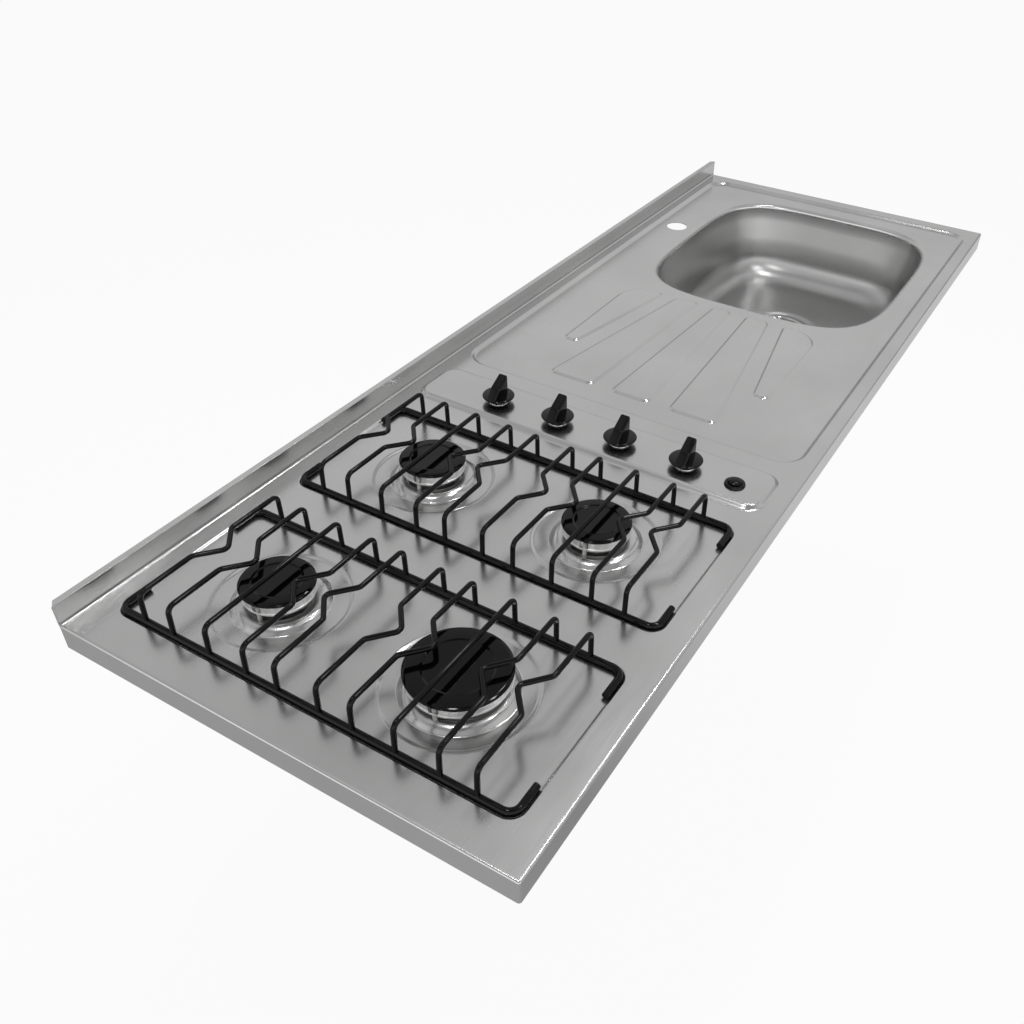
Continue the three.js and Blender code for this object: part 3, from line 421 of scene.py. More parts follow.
def filleted(corners, radii, steps=6):
    """A path through its corners, each inner corner rounded to its radius."""
    path = [Vector(corners[0])]
    for i in range(1, len(corners) - 1):
        radius = radii[i] if isinstance(radii, (list, tuple)) else radii
        corner = Vector(corners[i])
        if not radius:
            path.append(corner)
            continue
        back = (Vector(corners[i - 1]) - corner).normalized()
        on = (Vector(corners[i + 1]) - corner).normalized()
        half = back.angle(on) / 2
        centre = corner + (back + on).normalized() * (radius / math.sin(half))
        first = corner + back * (radius / math.tan(half)) - centre
        last = corner + on * (radius / math.tan(half)) - centre
        sweep = first.angle(last)
        for k in range(steps + 1):
            share = k / steps
            mixed = first * math.sin((1 - share) * sweep) + last * math.sin(share * sweep)
            path.append(centre + mixed / math.sin(sweep))
    path.append(Vector(corners[-1]))
    return path


def profile(corners, radii, steps=6):
    """A profile of (radius, height) corners for turning, each inner corner rounded."""
    return [(p.x, p.z) for p in filleted([(r, 0, z) for r, z in corners], radii, steps)]


def turned(bm, outline, x, y, segments=96):
    """Spins a profile about an upright axis, and gives its points."""
    verts = [bm.verts.new((x + r, y, z)) for r, z in outline]
    edges = [bm.edges.new(pair) for pair in zip(verts, verts[1:])]
    before = set(bm.verts) - set(verts)
    bmesh.ops.spin(bm, geom=[*verts, *edges], cent=(x, y, 0), axis=(0, 0, 1), angle=2 * math.pi,
                   steps=segments, use_merge=True)
    return [v for v in bm.verts if v not in before]


sheet = bmesh.new()
tray = Matrix.Translation((LENGTH / 2, DEPTH / 2, -APRON / 2))
tray @= Matrix.Diagonal((LENGTH, DEPTH, APRON, 1))
bmesh.ops.create_cube(sheet, size=1, matrix=tray)
bmesh.ops.bisect_plane(sheet, geom=[*sheet.verts, *sheet.edges, *sheet.faces],
                       plane_co=(0, UPSTAND_FACE, 0), plane_no=(0, 1, 0))
ledge = [f for f in sheet.faces if f.normal.z > 0.9 and f.calc_center_median().y > UPSTAND_FACE]
raised = bmesh.ops.extrude_face_region(sheet, geom=ledge)["geom"]
bmesh.ops.delete(sheet, geom=ledge, context="FACES_ONLY")
bmesh.ops.translate(sheet, verts=[v for v in raised if isinstance(v, bmesh.types.BMVert)],
                    vec=(0, 0, UPSTAND_HEIGHT))


def edges_where(bm, test):
    """The edges whose two ends both pass a test."""
    return [e for e in bm.edges if all(test(v.co) for v in e.verts)]


seams = edges_where(sheet, lambda co: abs(co.y - UPSTAND_FACE) < NEAR and co.z < NEAR)
seams = [e for e in seams if min(v.co.z for v in e.verts) < -1]
bmesh.ops.dissolve_edges(sheet, edges=seams, use_verts=True)


def on_top(co):
    """Whether a point lies in the worktop's top, in front of the upstand."""
    return abs(co.z) < NEAR and co.y < UPSTAND_FACE + NEAR


fold = [e for e in edges_where(sheet, on_top)
        if e.verts[0].co.y + e.verts[1].co.y < 2 * UPSTAND_FACE - 1]
corner_posts = edges_where(sheet, lambda co: co.y < NEAR and (co.x < NEAR or co.x > LENGTH - NEAR))
corner_posts = [e for e in corner_posts if abs(e.verts[0].co.z - e.verts[1].co.z) > 1]
bmesh.ops.bevel(sheet, geom=[*fold, *corner_posts], offset=FOLD, segments=6, profile=0.5,
                affect="EDGES", material=-1)
ledge_edges = edges_where(sheet, lambda co: co.z > UPSTAND_HEIGHT - NEAR)
bmesh.ops.bevel(sheet, geom=ledge_edges, offset=LEDGE_ROUND, segments=4, profile=0.5,
                affect="EDGES", material=-1)
cove = edges_where(sheet, lambda co: abs(co.z) < NEAR and abs(co.y - UPSTAND_FACE) < NEAR)
bmesh.ops.bevel(sheet, geom=cove, offset=FOLD, segments=5, profile=0.5, affect="EDGES", material=-1)
# A narrow band round each large flat keeps the folds' shading off it.
flats = [f for f in sheet.faces if f.calc_area() > 5000]
bmesh.ops.inset_individual(sheet, faces=flats, thickness=0.4, use_even_offset=True)
top = max((f for f in sheet.faces if f.normal.z > 0.99), key=lambda f: f.calc_area())
wells = []
for x, y in WELLS:
    half_x, half_y = WELL_HALF
    outline = rectangle(x - half_x, x + half_x, y - half_y, y + half_y)
    wells.append(plate(sheet, outline, 0, [WELL_CORNER] * 4))
strip_blank = plate(sheet, rectangle(*STRIP), 0, [STRIP_CORNER] * 4, 10)
recess_blank = plate(sheet, rectangle(*RECESS), 0, [RECESS_CORNER] * 4, 12)
flat_between(sheet, top, [*wells, strip_blank, recess_blank])
bottom = min(sheet.faces, key=lambda f: f.calc_center_median().z)
mouth = plate(sheet, rectangle(FLANGE, LENGTH - FLANGE, FLANGE, DEPTH - FLANGE), -APRON,
              [MOUTH_CORNER] * 4)
flat_between(sheet, bottom, [mouth])
bmesh.ops.delete(sheet, geom=[mouth], context="FACES_ONLY")

for blank, (x, y) in zip(wells, WELLS):
    press(sheet, blank, wall_steps(WELL_WALL, -WELL_DEPTH))
    dishes = [round_face(sheet, bx, by, -WELL_DEPTH, size["dish"] + DISH_LAND)
              for bx, by, size in BURNERS.values() if bx == x]
    flat_between(sheet, blank, dishes)
    bmesh.ops.delete(sheet, geom=dishes, context="FACES_ONLY")
for name, (x, y, size) in BURNERS.items():
    dish, foot, hole = size["dish"], size["foot"], size["hole"]
    collar = turned(sheet, profile(
        [(dish + DISH_LAND, -WELL_DEPTH), (dish + 1.6, -WELL_DEPTH),
         (dish - 2.2, -WELL_DEPTH - 1.4),
         (foot, -WELL_DEPTH - DISH_FALL), (foot - 6.8, 3.2), (hole + 1, 3.1), (hole, 1.5)],
        [0, 7, 7, 3, 12, 0.6, 0], 8), x, y)
    ex, ey = electrode_place(name)
    for vert in collar:
        aside = Vector((vert.co.x - ex, vert.co.y - ey))
        if aside.length < ELECTRODE_NOTCH and vert.co.z > 0:
            vert.co.xy = Vector((ex, ey)) + aside.normalized() * ELECTRODE_NOTCH

press(sheet, strip_blank, wall_steps(STRIP_WALL, STRIP_HEIGHT, 10))
holes = [round_face(sheet, KNOB_X, y, STRIP_HEIGHT, SPINDLE_HOLE, 32) for y in KNOB_Y]
holes.append(round_face(sheet, *BUTTON, STRIP_HEIGHT, BUTTON_HOLE, 32))
flat_between(sheet, strip_blank, holes)
bmesh.ops.delete(sheet, geom=holes, context="FACES_ONLY")

RIBS = [
    ([(669, -30), (974, -16), (974, 16), (669, 30)], [12, 10, 10, 12]),
    ([(669, 55), (974, 38), (974, 77), (669, 125)], [12, 10, 12, 12]),
    ([(762, 134), (974, 96), (974, 158), (762, 158)], [8, 12, 44, 10]),
]
RIBS += [([(x, -y) for x, y in corners[::-1]], radii[::-1]) for corners, radii in RIBS[1:]]
press(sheet, recess_blank, wall_steps(RECESS_WALL, -RECESS_DEPTH, 10))
ribs = []
for corners, radii in RIBS:
    placed = [(x, y + RIB_AXIS_Y) for x, y in corners]
    ribs.append(plate(sheet, placed, -RECESS_DEPTH, radii, 8))


def superellipse(verts, centre, half, power=4):
    """Moves a ring of points onto a rounded-square outline."""
    for vert in verts:
        turn = math.atan2(vert.co.y - centre[1], vert.co.x - centre[0])
        across, along = math.cos(turn), math.sin(turn)
        vert.co.x = centre[0] + half[0] * math.copysign(abs(across) ** (2 / power), across)
        vert.co.y = centre[1] + half[1] * math.copysign(abs(along) ** (2 / power), along)


def drawn_on(bm, edges):
    """Extrudes a ring of edges, and gives the new points and the new ring."""
    made = bmesh.ops.extrude_edge_only(bm, edges=edges)["geom"]
    verts = [g for g in made if isinstance(g, bmesh.types.BMVert)]
    fresh = set(verts)
    ring = [g for g in made if isinstance(g, bmesh.types.BMEdge)
            and all(v in fresh for v in g.verts)]
    return verts, ring


def lowered_ring(bm, edges, centre, before, after, drop):
    """Draws a ring of edges down and in, from one pair of half widths to the next."""
    verts, ring = drawn_on(bm, edges)
    shrink = (after[0] / before[0], after[1] / before[1], 1)
    bmesh.ops.scale(bm, vec=shrink, verts=verts,
                    space=Matrix.Translation((-centre[0], -centre[1], 0)))
    bmesh.ops.translate(bm, vec=(0, 0, drop), verts=verts)
    return ring


bowl_mouth = round_face(sheet, *BOWL_CENTRE, -RECESS_DEPTH, 1, BOWL_POINTS)
superellipse(bowl_mouth.verts, BOWL_CENTRE, (BOWL_HALF[0] + 0.5, BOWL_HALF[1] + 0.5))
tap_x, tap_y, tap_radius = TAP_HOLE
tap_hole = round_face(sheet, tap_x, tap_y, -RECESS_DEPTH, tap_radius, 64)
flat_between(sheet, recess_blank, [*ribs, bowl_mouth, tap_hole])
for rib in ribs:
    press(sheet, rib, wall_steps(RIB_WALL, RIB_HEIGHT))
lip = list(bowl_mouth.edges)
bmesh.ops.delete(sheet, geom=[bowl_mouth, tap_hole], context="FACES_ONLY")
inset, depth = -0.5, 0
roll_steps = [(0, 0), *[(p[0], p[1] - BOWL_LIP) for p in arc(0, 0, BOWL_LIP, 81, 0, 9)],
              (BOWL_LIP, -BOWL_LIP - 2)]
for new_inset, new_depth in roll_steps:
    before = (BOWL_HALF[0] - inset, BOWL_HALF[1] - inset)
    after = (BOWL_HALF[0] - new_inset, BOWL_HALF[1] - new_inset)
    lip = lowered_ring(sheet, lip, BOWL_CENTRE, before, after, new_depth - depth)
    inset, depth = new_inset, new_depth

# The upstand's ends are cut back on a slant towards the wall, which leaves its channel open.
behind = [f for f in sheet.faces if any(v.co.y > UPSTAND_FACE + NEAR for v in f.verts)]
reach = dict.fromkeys(e for f in behind for e in f.edges)
bmesh.ops.bisect_plane(sheet, geom=[*behind, *reach], plane_co=(0, UPSTAND_FACE, 0),
                       plane_no=(0, 1, 0))
for x, side in ((0, -1), (LENGTH, 1)):
    behind = [f for f in sheet.faces if f.calc_center_median().y > UPSTAND_FACE - NEAR
              and all(v.co.y > UPSTAND_FACE - NEAR for v in f.verts)]
    reach = dict.fromkeys(g for f in behind for g in (*f.edges, *f.verts))
    bmesh.ops.bisect_plane(sheet, geom=[*behind, *reach], plane_co=(x, UPSTAND_FACE, 0),
                           plane_no=(side * (DEPTH - UPSTAND_FACE), END_SLANT, 0),
                           clear_outer=True)


def shell(bm, facing, thickness):
    """Faces a pressed surface up at its highest or lowest face, and gives it a thickness."""
    bmesh.ops.remove_doubles(bm, verts=bm.verts, dist=WELD)
    bmesh.ops.dissolve_degenerate(bm, edges=bm.edges, dist=0.001)
    bmesh.ops.recalc_face_normals(bm, faces=bm.faces)
    if facing(bm.faces, key=lambda f: f.calc_center_median().z).normal.z < 0:
        bmesh.ops.reverse_faces(bm, faces=bm.faces)
    bm.normal_update()
    inward = {v: -v.normal * thickness * min(v.calc_shell_factor(), 1.5) for v in bm.verts}
    open_edges = [e for e in bm.edges if e.is_boundary]
    made = bmesh.ops.duplicate(bm, geom=[*bm.verts, *bm.edges, *bm.faces])
    twin = made["vert_map"]
    inside = [g for g in made["geom"] if isinstance(g, bmesh.types.BMFace)]
    bmesh.ops.reverse_faces(bm, faces=inside)
    for vert, shift in inward.items():
        twin[vert].co = vert.co + shift
    for edge in open_edges:
        loop = edge.link_loops[0]
        first, second = loop.vert, loop.link_loop_next.vert
        bm.faces.new([second, first, twin[first], twin[second]])


shell(sheet, max, SHEET)
brushed = steel("worktop_steel", 0.6, 0.24, (0.02, 1, 1), brush=0.05, wave=0.0001)
finished(sheet, "worktop", brushed, "worktop", ["worktop_sheet"],
         keep_normals=True)

# ---- Sink bowl ---------------------------------------------------------------------------------
# Deep-drawn stainless bowl, satin inside, seam-welded under the worktop's rolled edge; its steel is
# painted a darker shade than the worktop's. Its walls taper, turn in through a wide radius, and the
# floor falls gently to the round waste seat.
BOWL_FLOOR = -133
BOWL_TURN = 46
DRAIN = (1214.5, 248)
BOWL_RIM = -RECESS_DEPTH - BOWL_LIP - 2
FLOOR_RINGS = 10
SEAT_RADIUS = 59
SEAT_DROP = 3

bowl = bmesh.new()
bowl_rim = round_face(bowl, *BOWL_CENTRE, BOWL_RIM, 1, BOWL_POINTS)
superellipse(bowl_rim.verts, BOWL_CENTRE, (BOWL_HALF[0] - BOWL_LIP, BOWL_HALF[1] - BOWL_LIP))
ring = list(bowl_rim.edges)
bmesh.ops.delete(bowl, geom=[bowl_rim], context="FACES_ONLY")
wall_foot = BOWL_FLOOR + BOWL_TURN
levels = [(BOWL_LIP + 0.4, -20), (BOWL_LIP + 2.5, -32), (BOWL_LIP + 9, -60),
          (BOWL_LIP + 16, wall_foot)]
levels += [(BOWL_LIP + 16 + BOWL_TURN - x, wall_foot - z)
           for x, z in arc(0, 0, BOWL_TURN, 0, 78, 12)[1:]]
inset, z = BOWL_LIP, BOWL_RIM
for new_inset, new_z in levels:
    before = (BOWL_HALF[0] - inset, BOWL_HALF[1] - inset)
    after = (BOWL_HALF[0] - new_inset, BOWL_HALF[1] - new_inset)
    ring = lowered_ring(bowl, ring, BOWL_CENTRE, before, after, new_z - z)
    inset, z = new_inset, new_z
for k in range(1, FLOOR_RINGS + 1):
    fresh, ring = drawn_on(bowl, ring)
    eased = math.sin(k / FLOOR_RINGS * math.pi / 2)
    for vert in fresh:
        offset = Vector((vert.co.x - DRAIN[0], vert.co.y - DRAIN[1], 0))
        offset.length -= (offset.length - SEAT_RADIUS - 2) / (FLOOR_RINGS - k + 1)
        vert.co.x, vert.co.y = DRAIN[0] + offset.x, DRAIN[1] + offset.y
        vert.co.z = z + (BOWL_FLOOR - z) * eased
seat = [(SEAT_RADIUS + 1.2, -0.4), (SEAT_RADIUS + 0.4, -1.6), (SEAT_RADIUS - 0.4, -SEAT_DROP + 0.3),
        (SEAT_RADIUS - 1.6, -SEAT_DROP), (45, -SEAT_DROP)]
radius, drop = SEAT_RADIUS + 2, 0
for new_radius, new_drop in seat:
    ring = lowered_ring(bowl, ring, DRAIN, (radius, radius), (new_radius, new_radius),
                        new_drop - drop)
    radius, drop = new_radius, new_drop
shell(bowl, min, SHEET)
# Painted shade: this steel is darker than the worktop's (0.47 against 0.6), so the bowl's hollow
# comes out darker; its higher roughness is its own satin finish.
satin_and_painted_shade = steel("bowl_steel_painted_shade", 0.47, 0.3, (1, 1, 0.03), brush=0.01, spread_by=0.02)
finished(bowl, "sink_bowl_drawn", satin_and_painted_shade, "worktop", ["sink_bowl"],
         keep_normals=True)

# ---- Waste -------------------------------------------------------------------------------------
# Polished strainer cup clamped through the bowl by a nut and gasket, with a lift-out basket.
# The tailpiece below carries the water down to the trap.
SEAT = BOWL_FLOOR - SEAT_DROP
CONTACT = 0.2
polished = steel("polished_steel", 0.62, 0.1, (1, 1, 0.05), brush=0.03, spread_by=0.03)

cup = bmesh.new()
rim = SEAT + CONTACT
turned(cup, profile(
    [(57, rim), (55.8, rim + 1.8), (47, rim + 1.8), (41, rim - 4), (39, SEAT - 32),
     (18.5, SEAT - 37), (18.5, SEAT - 50), (21, SEAT - 50), (21, SEAT - 38),
     (44, SEAT - 33), (44, rim), (57, rim)],
    [0, 1, 3, 3, 5, 1.5, 0, 0, 1, 1.5, 0, 0]), *DRAIN)
finished(cup, "strainer_cup_polished", polished, "worktop", ["strainer_cup"])

basket = bmesh.new()
basket_rim, basket_floor = SEAT - 3.2, SEAT - 26
turned(basket, profile(
    [(0, basket_floor + 22), (7, basket_floor + 20), (4, basket_floor + 13),
     (5, basket_floor + 1), (31, basket_floor + 1), (36, basket_rim),
     (40.2, basket_rim + 1), (37.4, basket_rim - 1), (32, basket_floor),
     (0, basket_floor)],
    [0, 3, 3, 1, 2.5, 1, 0.4, 1, 2, 0]), *DRAIN)
finished(basket, "basket_cup", polished, "strainer_basket", ["strainer_basket"])


def plain(name, shade, rough, grain, bumps, metal=0.0, mirror=0.5):
    """Moulded, cast or coated stuff: one colour with a faint mottle, its own gloss and grain."""
    material = bpy.data.materials.new(name)
    material.use_nodes = True
    nodes, links = material.node_tree.nodes, material.node_tree.links
    shader = nodes["Principled BSDF"]
    shader.inputs["Metallic"].default_value = metal
    shader.inputs["Specular IOR Level"].default_value = mirror
    mottle = noise_on(nodes, links, grain, (1, 1, 1), 6)
    tint = nodes.new("ShaderNodeMix")
    tint.data_type = "RGBA"
    tint.inputs["A"].default_value = (*[c * 0.9 for c in shade], 1)
    tint.inputs["B"].default_value = (*[c * 1.1 for c in shade], 1)
    links.new(spread(nodes, links, mottle, 0, 1), tint.inputs["Factor"])
    links.new(tint.outputs["Result"], shader.inputs["Base Color"])
    links.new(spread(nodes, links, mottle, rough * 0.85, rough * 1.15), shader.inputs["Roughness"])
    relief = nodes.new("ShaderNodeBump")
    relief.inputs["Strength"].default_value = bumps
    relief.inputs["Distance"].default_value = 0.0002
    links.new(mottle, relief.inputs["Height"])
    links.new(relief.outputs["Normal"], shader.inputs["Normal"])
    return material


def refinished(names, material):
    """Gives CAD nodes their own finish."""
    for name in names:
        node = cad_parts[name]
        for place in node.material_slots:
            place.material = material


grey_plastic = plain("moulded_grey", (0.62, 0.62, 0.61), 0.45, grain=300, bumps=0.1)
black_rubber = plain("gasket_rubber", (0.03, 0.03, 0.03), 0.7, grain=400, bumps=0.2)
refinished(["drain_locknut", "tail_nut", "drain_tailpiece"], grey_plastic)
refinished(["drain_gasket"], black_rubber)

# ---- Burners -----------------------------------------------------------------------------------
# Each burner is a cast cup hung under the sheet, a bright turned aluminium crown (its fine gas
# slots undrawn), a black enamelled cap that only rests on the crown, and a white ceramic spark
# electrode.
CROWN_FOOT = 10
CROWN_TOP = 21
WINDOW_HALF = 5
WINDOW_BACK = 3
WINDOW_FLOOR = CROWN_FOOT + 2.6
ELECTRODE_BORE = 2.6
DISH_UNDER = -WELL_DEPTH - DISH_FALL - SHEET

cast = plain("cast_aluminium", (0.55, 0.55, 0.54), 0.42, metal=1.0, grain=500, bumps=0.3)
# Painted reflection: the crown's tone is stretched into upright light and dark streaks that stand
# in for streaks of reflection on its wall.
bright_cast = steel("turned_aluminium", 0.9, 0.38, (1, 1, 0.02), brush=0.1, spread_by=0.08,
                    smear_and_sheen=(110, (1, 1, 0.02), 0.18))
enamel = plain("black_enamel", (0.001, 0.001, 0.001), 0.09, grain=60, bumps=0.03, mirror=0.24)
ceramic = plain("white_ceramic", (0.6, 0.59, 0.57), 0.35, grain=300, bumps=0.05)
pin_steel = steel("pin_steel", 0.5, 0.25, (1, 1, 1))


def electrode_window(bm, name, half, floor_z, foot_z):
    """Cuts a crown's wall down to a low lip in front of its electrode, and bores the lip."""
    bmesh.ops.remove_doubles(bm, verts=bm.verts, dist=WELD)
    x, y, size = BURNERS[name]
    ex, ey = electrode_place(name)
    out = Vector((math.cos(ELECTRODE_TURN), math.sin(ELECTRODE_TURN), 0))
    side = Vector((-out.y, out.x, 0))
    centre = Vector((x, y, 0))
    back = size["crown"] - ELECTRODE_INSET - WINDOW_BACK
    planes = [(side * half, side), (side * -half, side), (out * back, out),
              (Vector((0, 0, floor_z)), Vector((0, 0, 1)))]
    for offset, normal in planes:
        near = [f for f in bm.faces if (f.calc_center_median() - centre).dot(out) > 0]
        reach = dict.fromkeys(g for f in near for g in (*f.edges, *f.verts))
        bmesh.ops.bisect_plane(bm, geom=[*near, *reach], plane_co=centre + offset, plane_no=normal,
                               dist=0.0005)

    def places(co):
        """How far a point lies across and outward of the burner, and its height."""
        return (co - centre).dot(side), (co - centre).dot(out), co.z

    gone = []
    for face in bm.faces:
        across, outward, z = places(face.calc_center_median())
        if abs(across) < half and outward > back and z > floor_z:
            gone.append(face)
    bmesh.ops.delete(bm, geom=gone, context="FACES")
    rim = [v for v in bm.verts if any(e.is_boundary for e in v.link_edges)]
    corners = [bm.verts.new(centre + side * s * half + out * back + Vector((0, 0, floor_z)))
               for s in (-1, 1)]
    low = sorted((v for v in rim if abs(v.co.z - floor_z) < NEAR), key=lambda v: places(v.co)[0])
    rear = sorted((v for v in rim if abs(places(v.co)[1] - back) < NEAR),
                  key=lambda v: places(v.co)[0])
    floor_face = bm.faces.new([*low, corners[1], corners[0]])
    bm.faces.new([*rear, corners[1], corners[0]])
    for sign, corner in zip((-1, 1), corners):
        cheek = [v for v in rim if abs(places(v.co)[0] - sign * half) < NEAR]
        cheek.sort(key=lambda v: v.co.z - places(v.co)[1])
        bm.faces.new([*cheek, corner])
    under = [f for f in bm.faces if all(abs(v.co.z - foot_z) < NEAR for v in f.verts)
             and (f.calc_center_median() - Vector((ex, ey, foot_z))).length < 8]
    foot_face = bmesh.ops.dissolve_faces(bm, faces=under)["region"][0]
    bores = []
    for face, z in ((floor_face, floor_z), (foot_face, foot_z)):
        bores.append(round_face(bm, ex, ey, z, ELECTRODE_BORE, 32))
        flat_between(bm, face, bores[-1:])
    loops = [e for f in bores for e in f.edges]
    bmesh.ops.delete(bm, geom=bores, context="FACES_ONLY")
    bmesh.ops.bridge_loops(bm, edges=loops)


for name, (x, y, size) in BURNERS.items():
    r = size["crown"]
    crown = bmesh.new()
    inner = size["cup"] - 5.2
    turned(crown, profile(
        [(inner, CROWN_FOOT), (r - 0.8, CROWN_FOOT), (r, CROWN_FOOT + 0.6),
         (r, CROWN_FOOT + 2.4), (r - 0.7, CROWN_FOOT + 2.9), (r - 0.7, CROWN_TOP - 0.8),
         (r - 1.3, CROWN_TOP), (r - 8, CROWN_TOP), (inner - 3, CROWN_FOOT + 1),
         (inner - 3, CROWN_FOOT - 7), (inner, CROWN_FOOT - 7), (inner, CROWN_FOOT)],
        [0, 0.3, 0.3, 0.3, 0.2, 0.3, 0.3, 0.5, 1, 0, 0, 0], 3), x, y, 128)
    electrode_window(crown, name, WINDOW_HALF, WINDOW_FLOOR, CROWN_FOOT)
    finished(crown, f"crown_{name}", bright_cast, f"burner_crown_{name}",
             [f"burner_crown_{name}"])

    r = size["cap"]
    base = CROWN_TOP + CONTACT
    step = r * 0.65
    cap = bmesh.new()
    turned(cap, profile(
        [(0, base - 3), (r - 13.4, base - 3), (r - 13, base), (r - 0.9, base),
         (r, base + 0.9), (r - 0.3, base + 2.6), (r - 3, base + 3.9),
         (step + 1.4, base + 4.2), (step - 0.6, base + 3.4), (0, base + 3.5)],
        [0, 0.5, 0.5, 0.5, 0.7, 1.4, 5, 0.8, 0.8, 0], 5), x, y, 128)
    finished(cap, f"cap_{name}", enamel, f"burner_cap_{name}",
             [f"burner_cap_{name}"])

    ex, ey = electrode_place(name)
    shoulder = DISH_UNDER - 3.4
    sleeve = bmesh.new()
    turned(sleeve, profile(
        [(0, -21.9), (2.2, -20), (2.2, shoulder - 3), (3.4, shoulder - 3),
         (3.4, shoulder), (2.2, shoulder), (2.2, 16.2), (1.8, 17), (0, 17)],
        [0, 0.5, 0.3, 0.4, 0.4, 0.3, 0.6, 0.4, 0]), ex, ey, 32)
    finished(sleeve, f"electrode_sleeve_{name}", ceramic, "worktop",
             [f"electrode_{name}"])
    pin = bmesh.new()
    turned(pin, profile(
        [(0, 16.8), (0.8, 16.8), (0.8, 19.2), (0.4, 19.6), (0, 19.6)],
        [0, 0, 0.3, 0.2, 0]), ex, ey, 20)
    finished(pin, f"electrode_pin_{name}", pin_steel, "worktop")
refinished([f"burner_cup_{name}" for name in BURNERS], cast)

# ---- Pan supports ------------------------------------------------------------------------------
# Two welded wire supports in glossy black enamel. Each has two base wires whose ends turn in, and
# ten bridging wires; the outer ones kink in towards their burner so that small pots can stand.
SUPPORT_HALF = (92, 227.5)
BASE_RADIUS = 3.5
CROSS_RADIUS = 2.75
WIRE_TOP = 36
BASE_END = 35
BASE_Z = -WELL_DEPTH + CONTACT + BASE_RADIUS
WIRE_OFFSETS = [-84, -46.5, 0, 46.5, 84]
KINK_HALF = 26
KINK_DEPTH = 22
BURNER_Y = sorted({y for _, y, _ in BURNERS.values()})


def wire(bm, path, radius, sides):
    """A round wire with closed ends: a ring drawn on from station to station and turned to fit."""
    heading = (path[1] - path[0]).normalized()
    facing = Vector((0, 0, 1)).rotation_difference(heading).to_matrix().to_4x4()
    made = bmesh.ops.create_circle(bm, cap_ends=True, radius=radius, segments=sides,
                                   matrix=Matrix.Translation(path[0]) @ facing)
    ring = list(dict.fromkeys(e for v in made["verts"] for e in v.link_edges))
    for i in range(1, len(path)):
        onward = (path[min(i + 1, len(path) - 1)] - path[i - 1]).normalized()
        verts, ring = drawn_on(bm, ring)
        bmesh.ops.translate(bm, vec=path[i] - path[i - 1], verts=verts)
        bmesh.ops.rotate(bm, cent=path[i], matrix=heading.rotation_difference(onward).to_matrix(),
                         verts=verts)
        heading = onward
    bmesh.ops.holes_fill(bm, edges=ring, sides=0)


for side, (centre_x, centre_y) in zip(("left", "right"), WELLS):
    support = bmesh.new()
    half_x, half_y = SUPPORT_HALF

    def at(x, y, z):
        """A point given from the support's middle."""
        return Vector((centre_x + x, centre_y + y, z))

    for hand in (-1, 1):
        tip = hand * (half_x - BASE_END)
        wire(support, filleted([at(tip, -half_y, BASE_Z), at(hand * half_x, -half_y, BASE_Z),
                                at(hand * half_x, half_y, BASE_Z), at(tip, half_y, BASE_Z)], 11, 8),
             BASE_RADIUS, 18)
    for burner_y in BURNER_Y:
        for offset in WIRE_OFFSETS:
            y = burner_y - centre_y + offset
            towards = -math.copysign(KINK_DEPTH, offset)
            kink = [at(-KINK_HALF, y, WIRE_TOP), at(0, y + towards, WIRE_TOP),
                    at(KINK_HALF, y, WIRE_TOP)] if offset else []
            corners = [at(-half_x, y, BASE_Z), at(-half_x + 1, y, WIRE_TOP), *kink,
                       at(half_x - 1, y, WIRE_TOP), at(half_x, y, BASE_Z)]
            wire(support, filleted(corners, 8, 6), CROSS_RADIUS, 16)
    finished(support, f"wire_support_{side}", enamel, f"pan_support_{side}",
             [f"pan_support_{side}"])

# ---- Gas supply --------------------------------------------------------------------------------
# Under the strip a zinc-plated rail hangs in two brackets and feeds four brass taps; a bent
# aluminium pipe runs from each tap to its burner. The inlet at the rear takes the supply pipe.
zinc = plain("zinc_plate", (0.5, 0.51, 0.52), 0.38, metal=1.0, grain=40, bumps=0.05)
brass = plain("machined_brass", (0.5, 0.36, 0.15), 0.3, metal=1.0, grain=300, bumps=0.1)
refinished(["gas_rail", "rail_bracket_front", "rail_bracket_rear"], zinc)
refinished(["gas_inlet"], brass)
refinished([f"tap_body_{i}" for i in range(1, 5)] + [f"tap_plug_{i}" for i in range(1, 5)], brass)
refinished([f"feed_tube_{name}" for name in BURNERS], cast)

# ---- Knobs -------------------------------------------------------------------------------------
# Black moulded knobs: a round skirt that narrows underneath and a tall grip that slopes down
# towards the hob. Each is pressed on a flatted spindle and stands over a bright ring.
KNOB_FOOT = STRIP_HEIGHT + 4.2
GRIP_WIDTH = 13
GRIP_SIDE = [(-18.4, 4.6), (13.2, 4.6), (12.2, 29.6), (-8, 18)]

knob_plastic = plain("knob_plastic", (0.002, 0.002, 0.002), 0.12, grain=900, bumps=0.03,
                     mirror=0.26)
chrome = steel("bright_ring", 0.75, 0.06, (1, 1, 1), brush=0.02, spread_by=0.02)

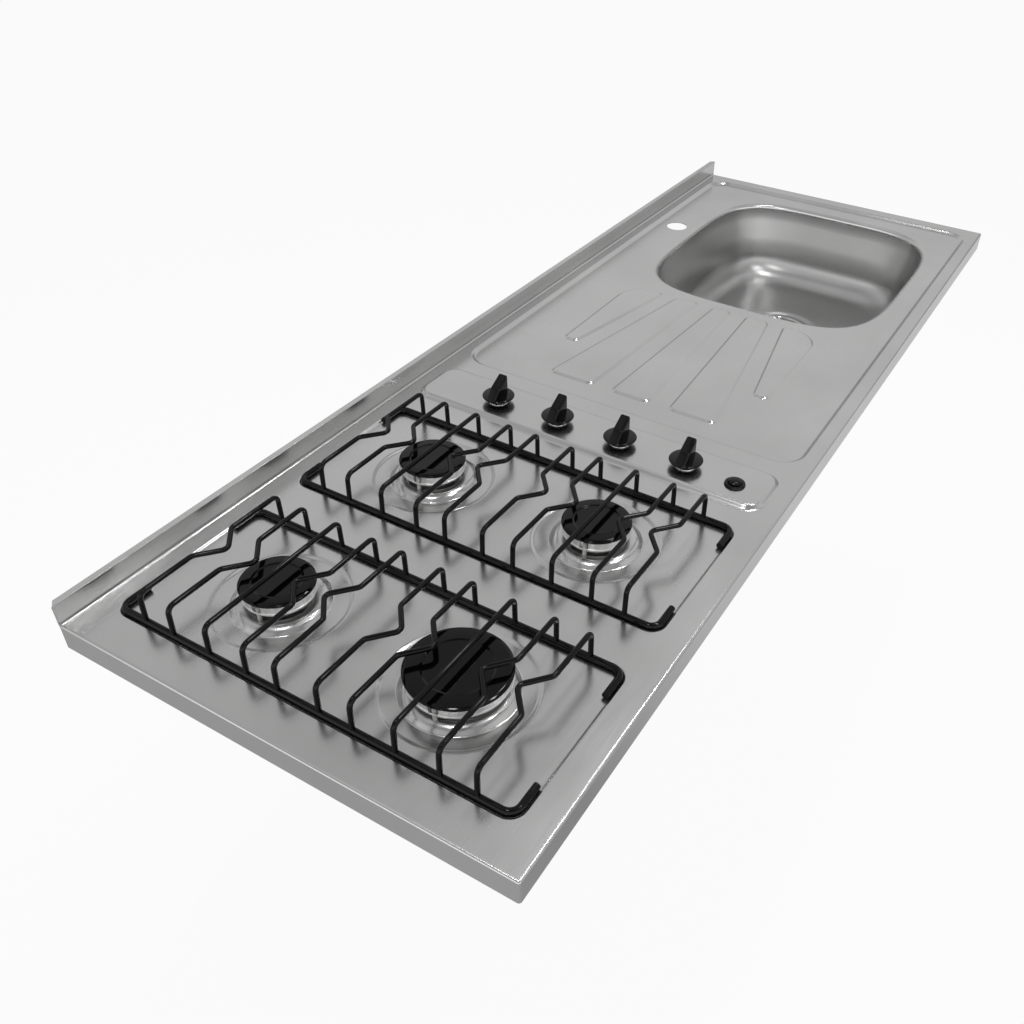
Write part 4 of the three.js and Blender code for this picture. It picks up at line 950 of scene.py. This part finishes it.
for i, knob_y in enumerate(KNOB_Y, start=1):
    z = STRIP_HEIGHT + CONTACT
    bezel = bmesh.new()
    turned(bezel, profile(
        [(4.6, z - 4.5), (8, z - 4.5), (8, z), (12.6, z), (12.2, z + 1.2),
         (4.6, z + 1.2), (4.6, z - 4.5)], [0, 0, 0, 0.2, 0.5, 0, 0]), KNOB_X, knob_y, 64)
    finished(bezel, f"knob_ring_{i}", chrome, "worktop", [f"knob_bezel_{i}"])

    z = KNOB_FOOT
    knob = bmesh.new()
    turned(knob, profile(
        [(0, z), (15, z), (20, z + 3.6), (20.5, z + 4.8), (19.4, z + 6),
         (0, z + 7.2)], [0, 0.8, 1, 0.5, 1.5, 0]), KNOB_X, knob_y, 96)
    half = GRIP_WIDTH / 2
    grip = [knob.verts.new((KNOB_X + x, knob_y - half, z + rise)) for x, rise in GRIP_SIDE]
    face = knob.faces.new(grip)
    made = bmesh.ops.extrude_face_region(knob, geom=[face])["geom"]
    bmesh.ops.translate(knob, vec=(0, GRIP_WIDTH, 0),
                        verts=[g for g in made if isinstance(g, bmesh.types.BMVert)])
    grip_edges = [e for e in knob.edges if all(abs(abs(v.co.y - knob_y) - half) < NEAR
                                               and v.co.z > z + 4.5 for v in e.verts)
                  and abs(e.verts[0].co.x - KNOB_X) < 19 and len(e.link_faces) == 2
                  and e.calc_length() > GRIP_WIDTH - 0.5]
    bmesh.ops.bevel(knob, geom=grip_edges, offset=2.2, segments=6, profile=0.5, affect="EDGES",
                    material=-1)
    finished(knob, f"grip_knob_{i}", knob_plastic, f"knob_{i}", [f"knob_{i}"],
             sharp=30)
refinished([f"tap_spindle_{i}" for i in range(1, 5)], pin_steel)

# ---- Ignition ----------------------------------------------------------------------------------
# A domed black plastic button in a moulded collar that snaps into the strip. Pressing it fires
# the spark generator, a plastic box on the underside.
z = STRIP_HEIGHT + CONTACT
collar = bmesh.new()
turned(collar, profile(
    [(8.5, z - 11), (9.2, z - 11), (9.2, z), (12.7, z), (11.8, z + 2.2),
     (8.5, z + 2.6), (8.5, z - 11)], [0, 0, 0, 0.3, 0.8, 0.3, 0]), *BUTTON, 64)
finished(collar, "button_ring", knob_plastic, "worktop", ["button_collar"])
z = STRIP_HEIGHT
button = bmesh.new()
turned(button, profile(
    [(0, z - 14.5), (9.1, z - 14.5), (9.1, z - 11.2), (8.1, z - 11.2), (8.1, z + 4.6),
     (6, z + 6.3), (0, z + 6.9)], [0, 0.3, 0.3, 0.2, 1.2, 3, 0]), *BUTTON, 64)
finished(button, "button_dome", knob_plastic, "ignition_button",
         ["ignition_button"])
refinished(["spark_generator"], knob_plastic)

# ---- Stiffeners --------------------------------------------------------------------------------
# Two hat-section channels folded from zinc-plated steel and bonded across the underside of the
# drainer, so that the thin sheet neither drums nor sags.
refinished(["stiffener_left", "stiffener_right"], zinc)
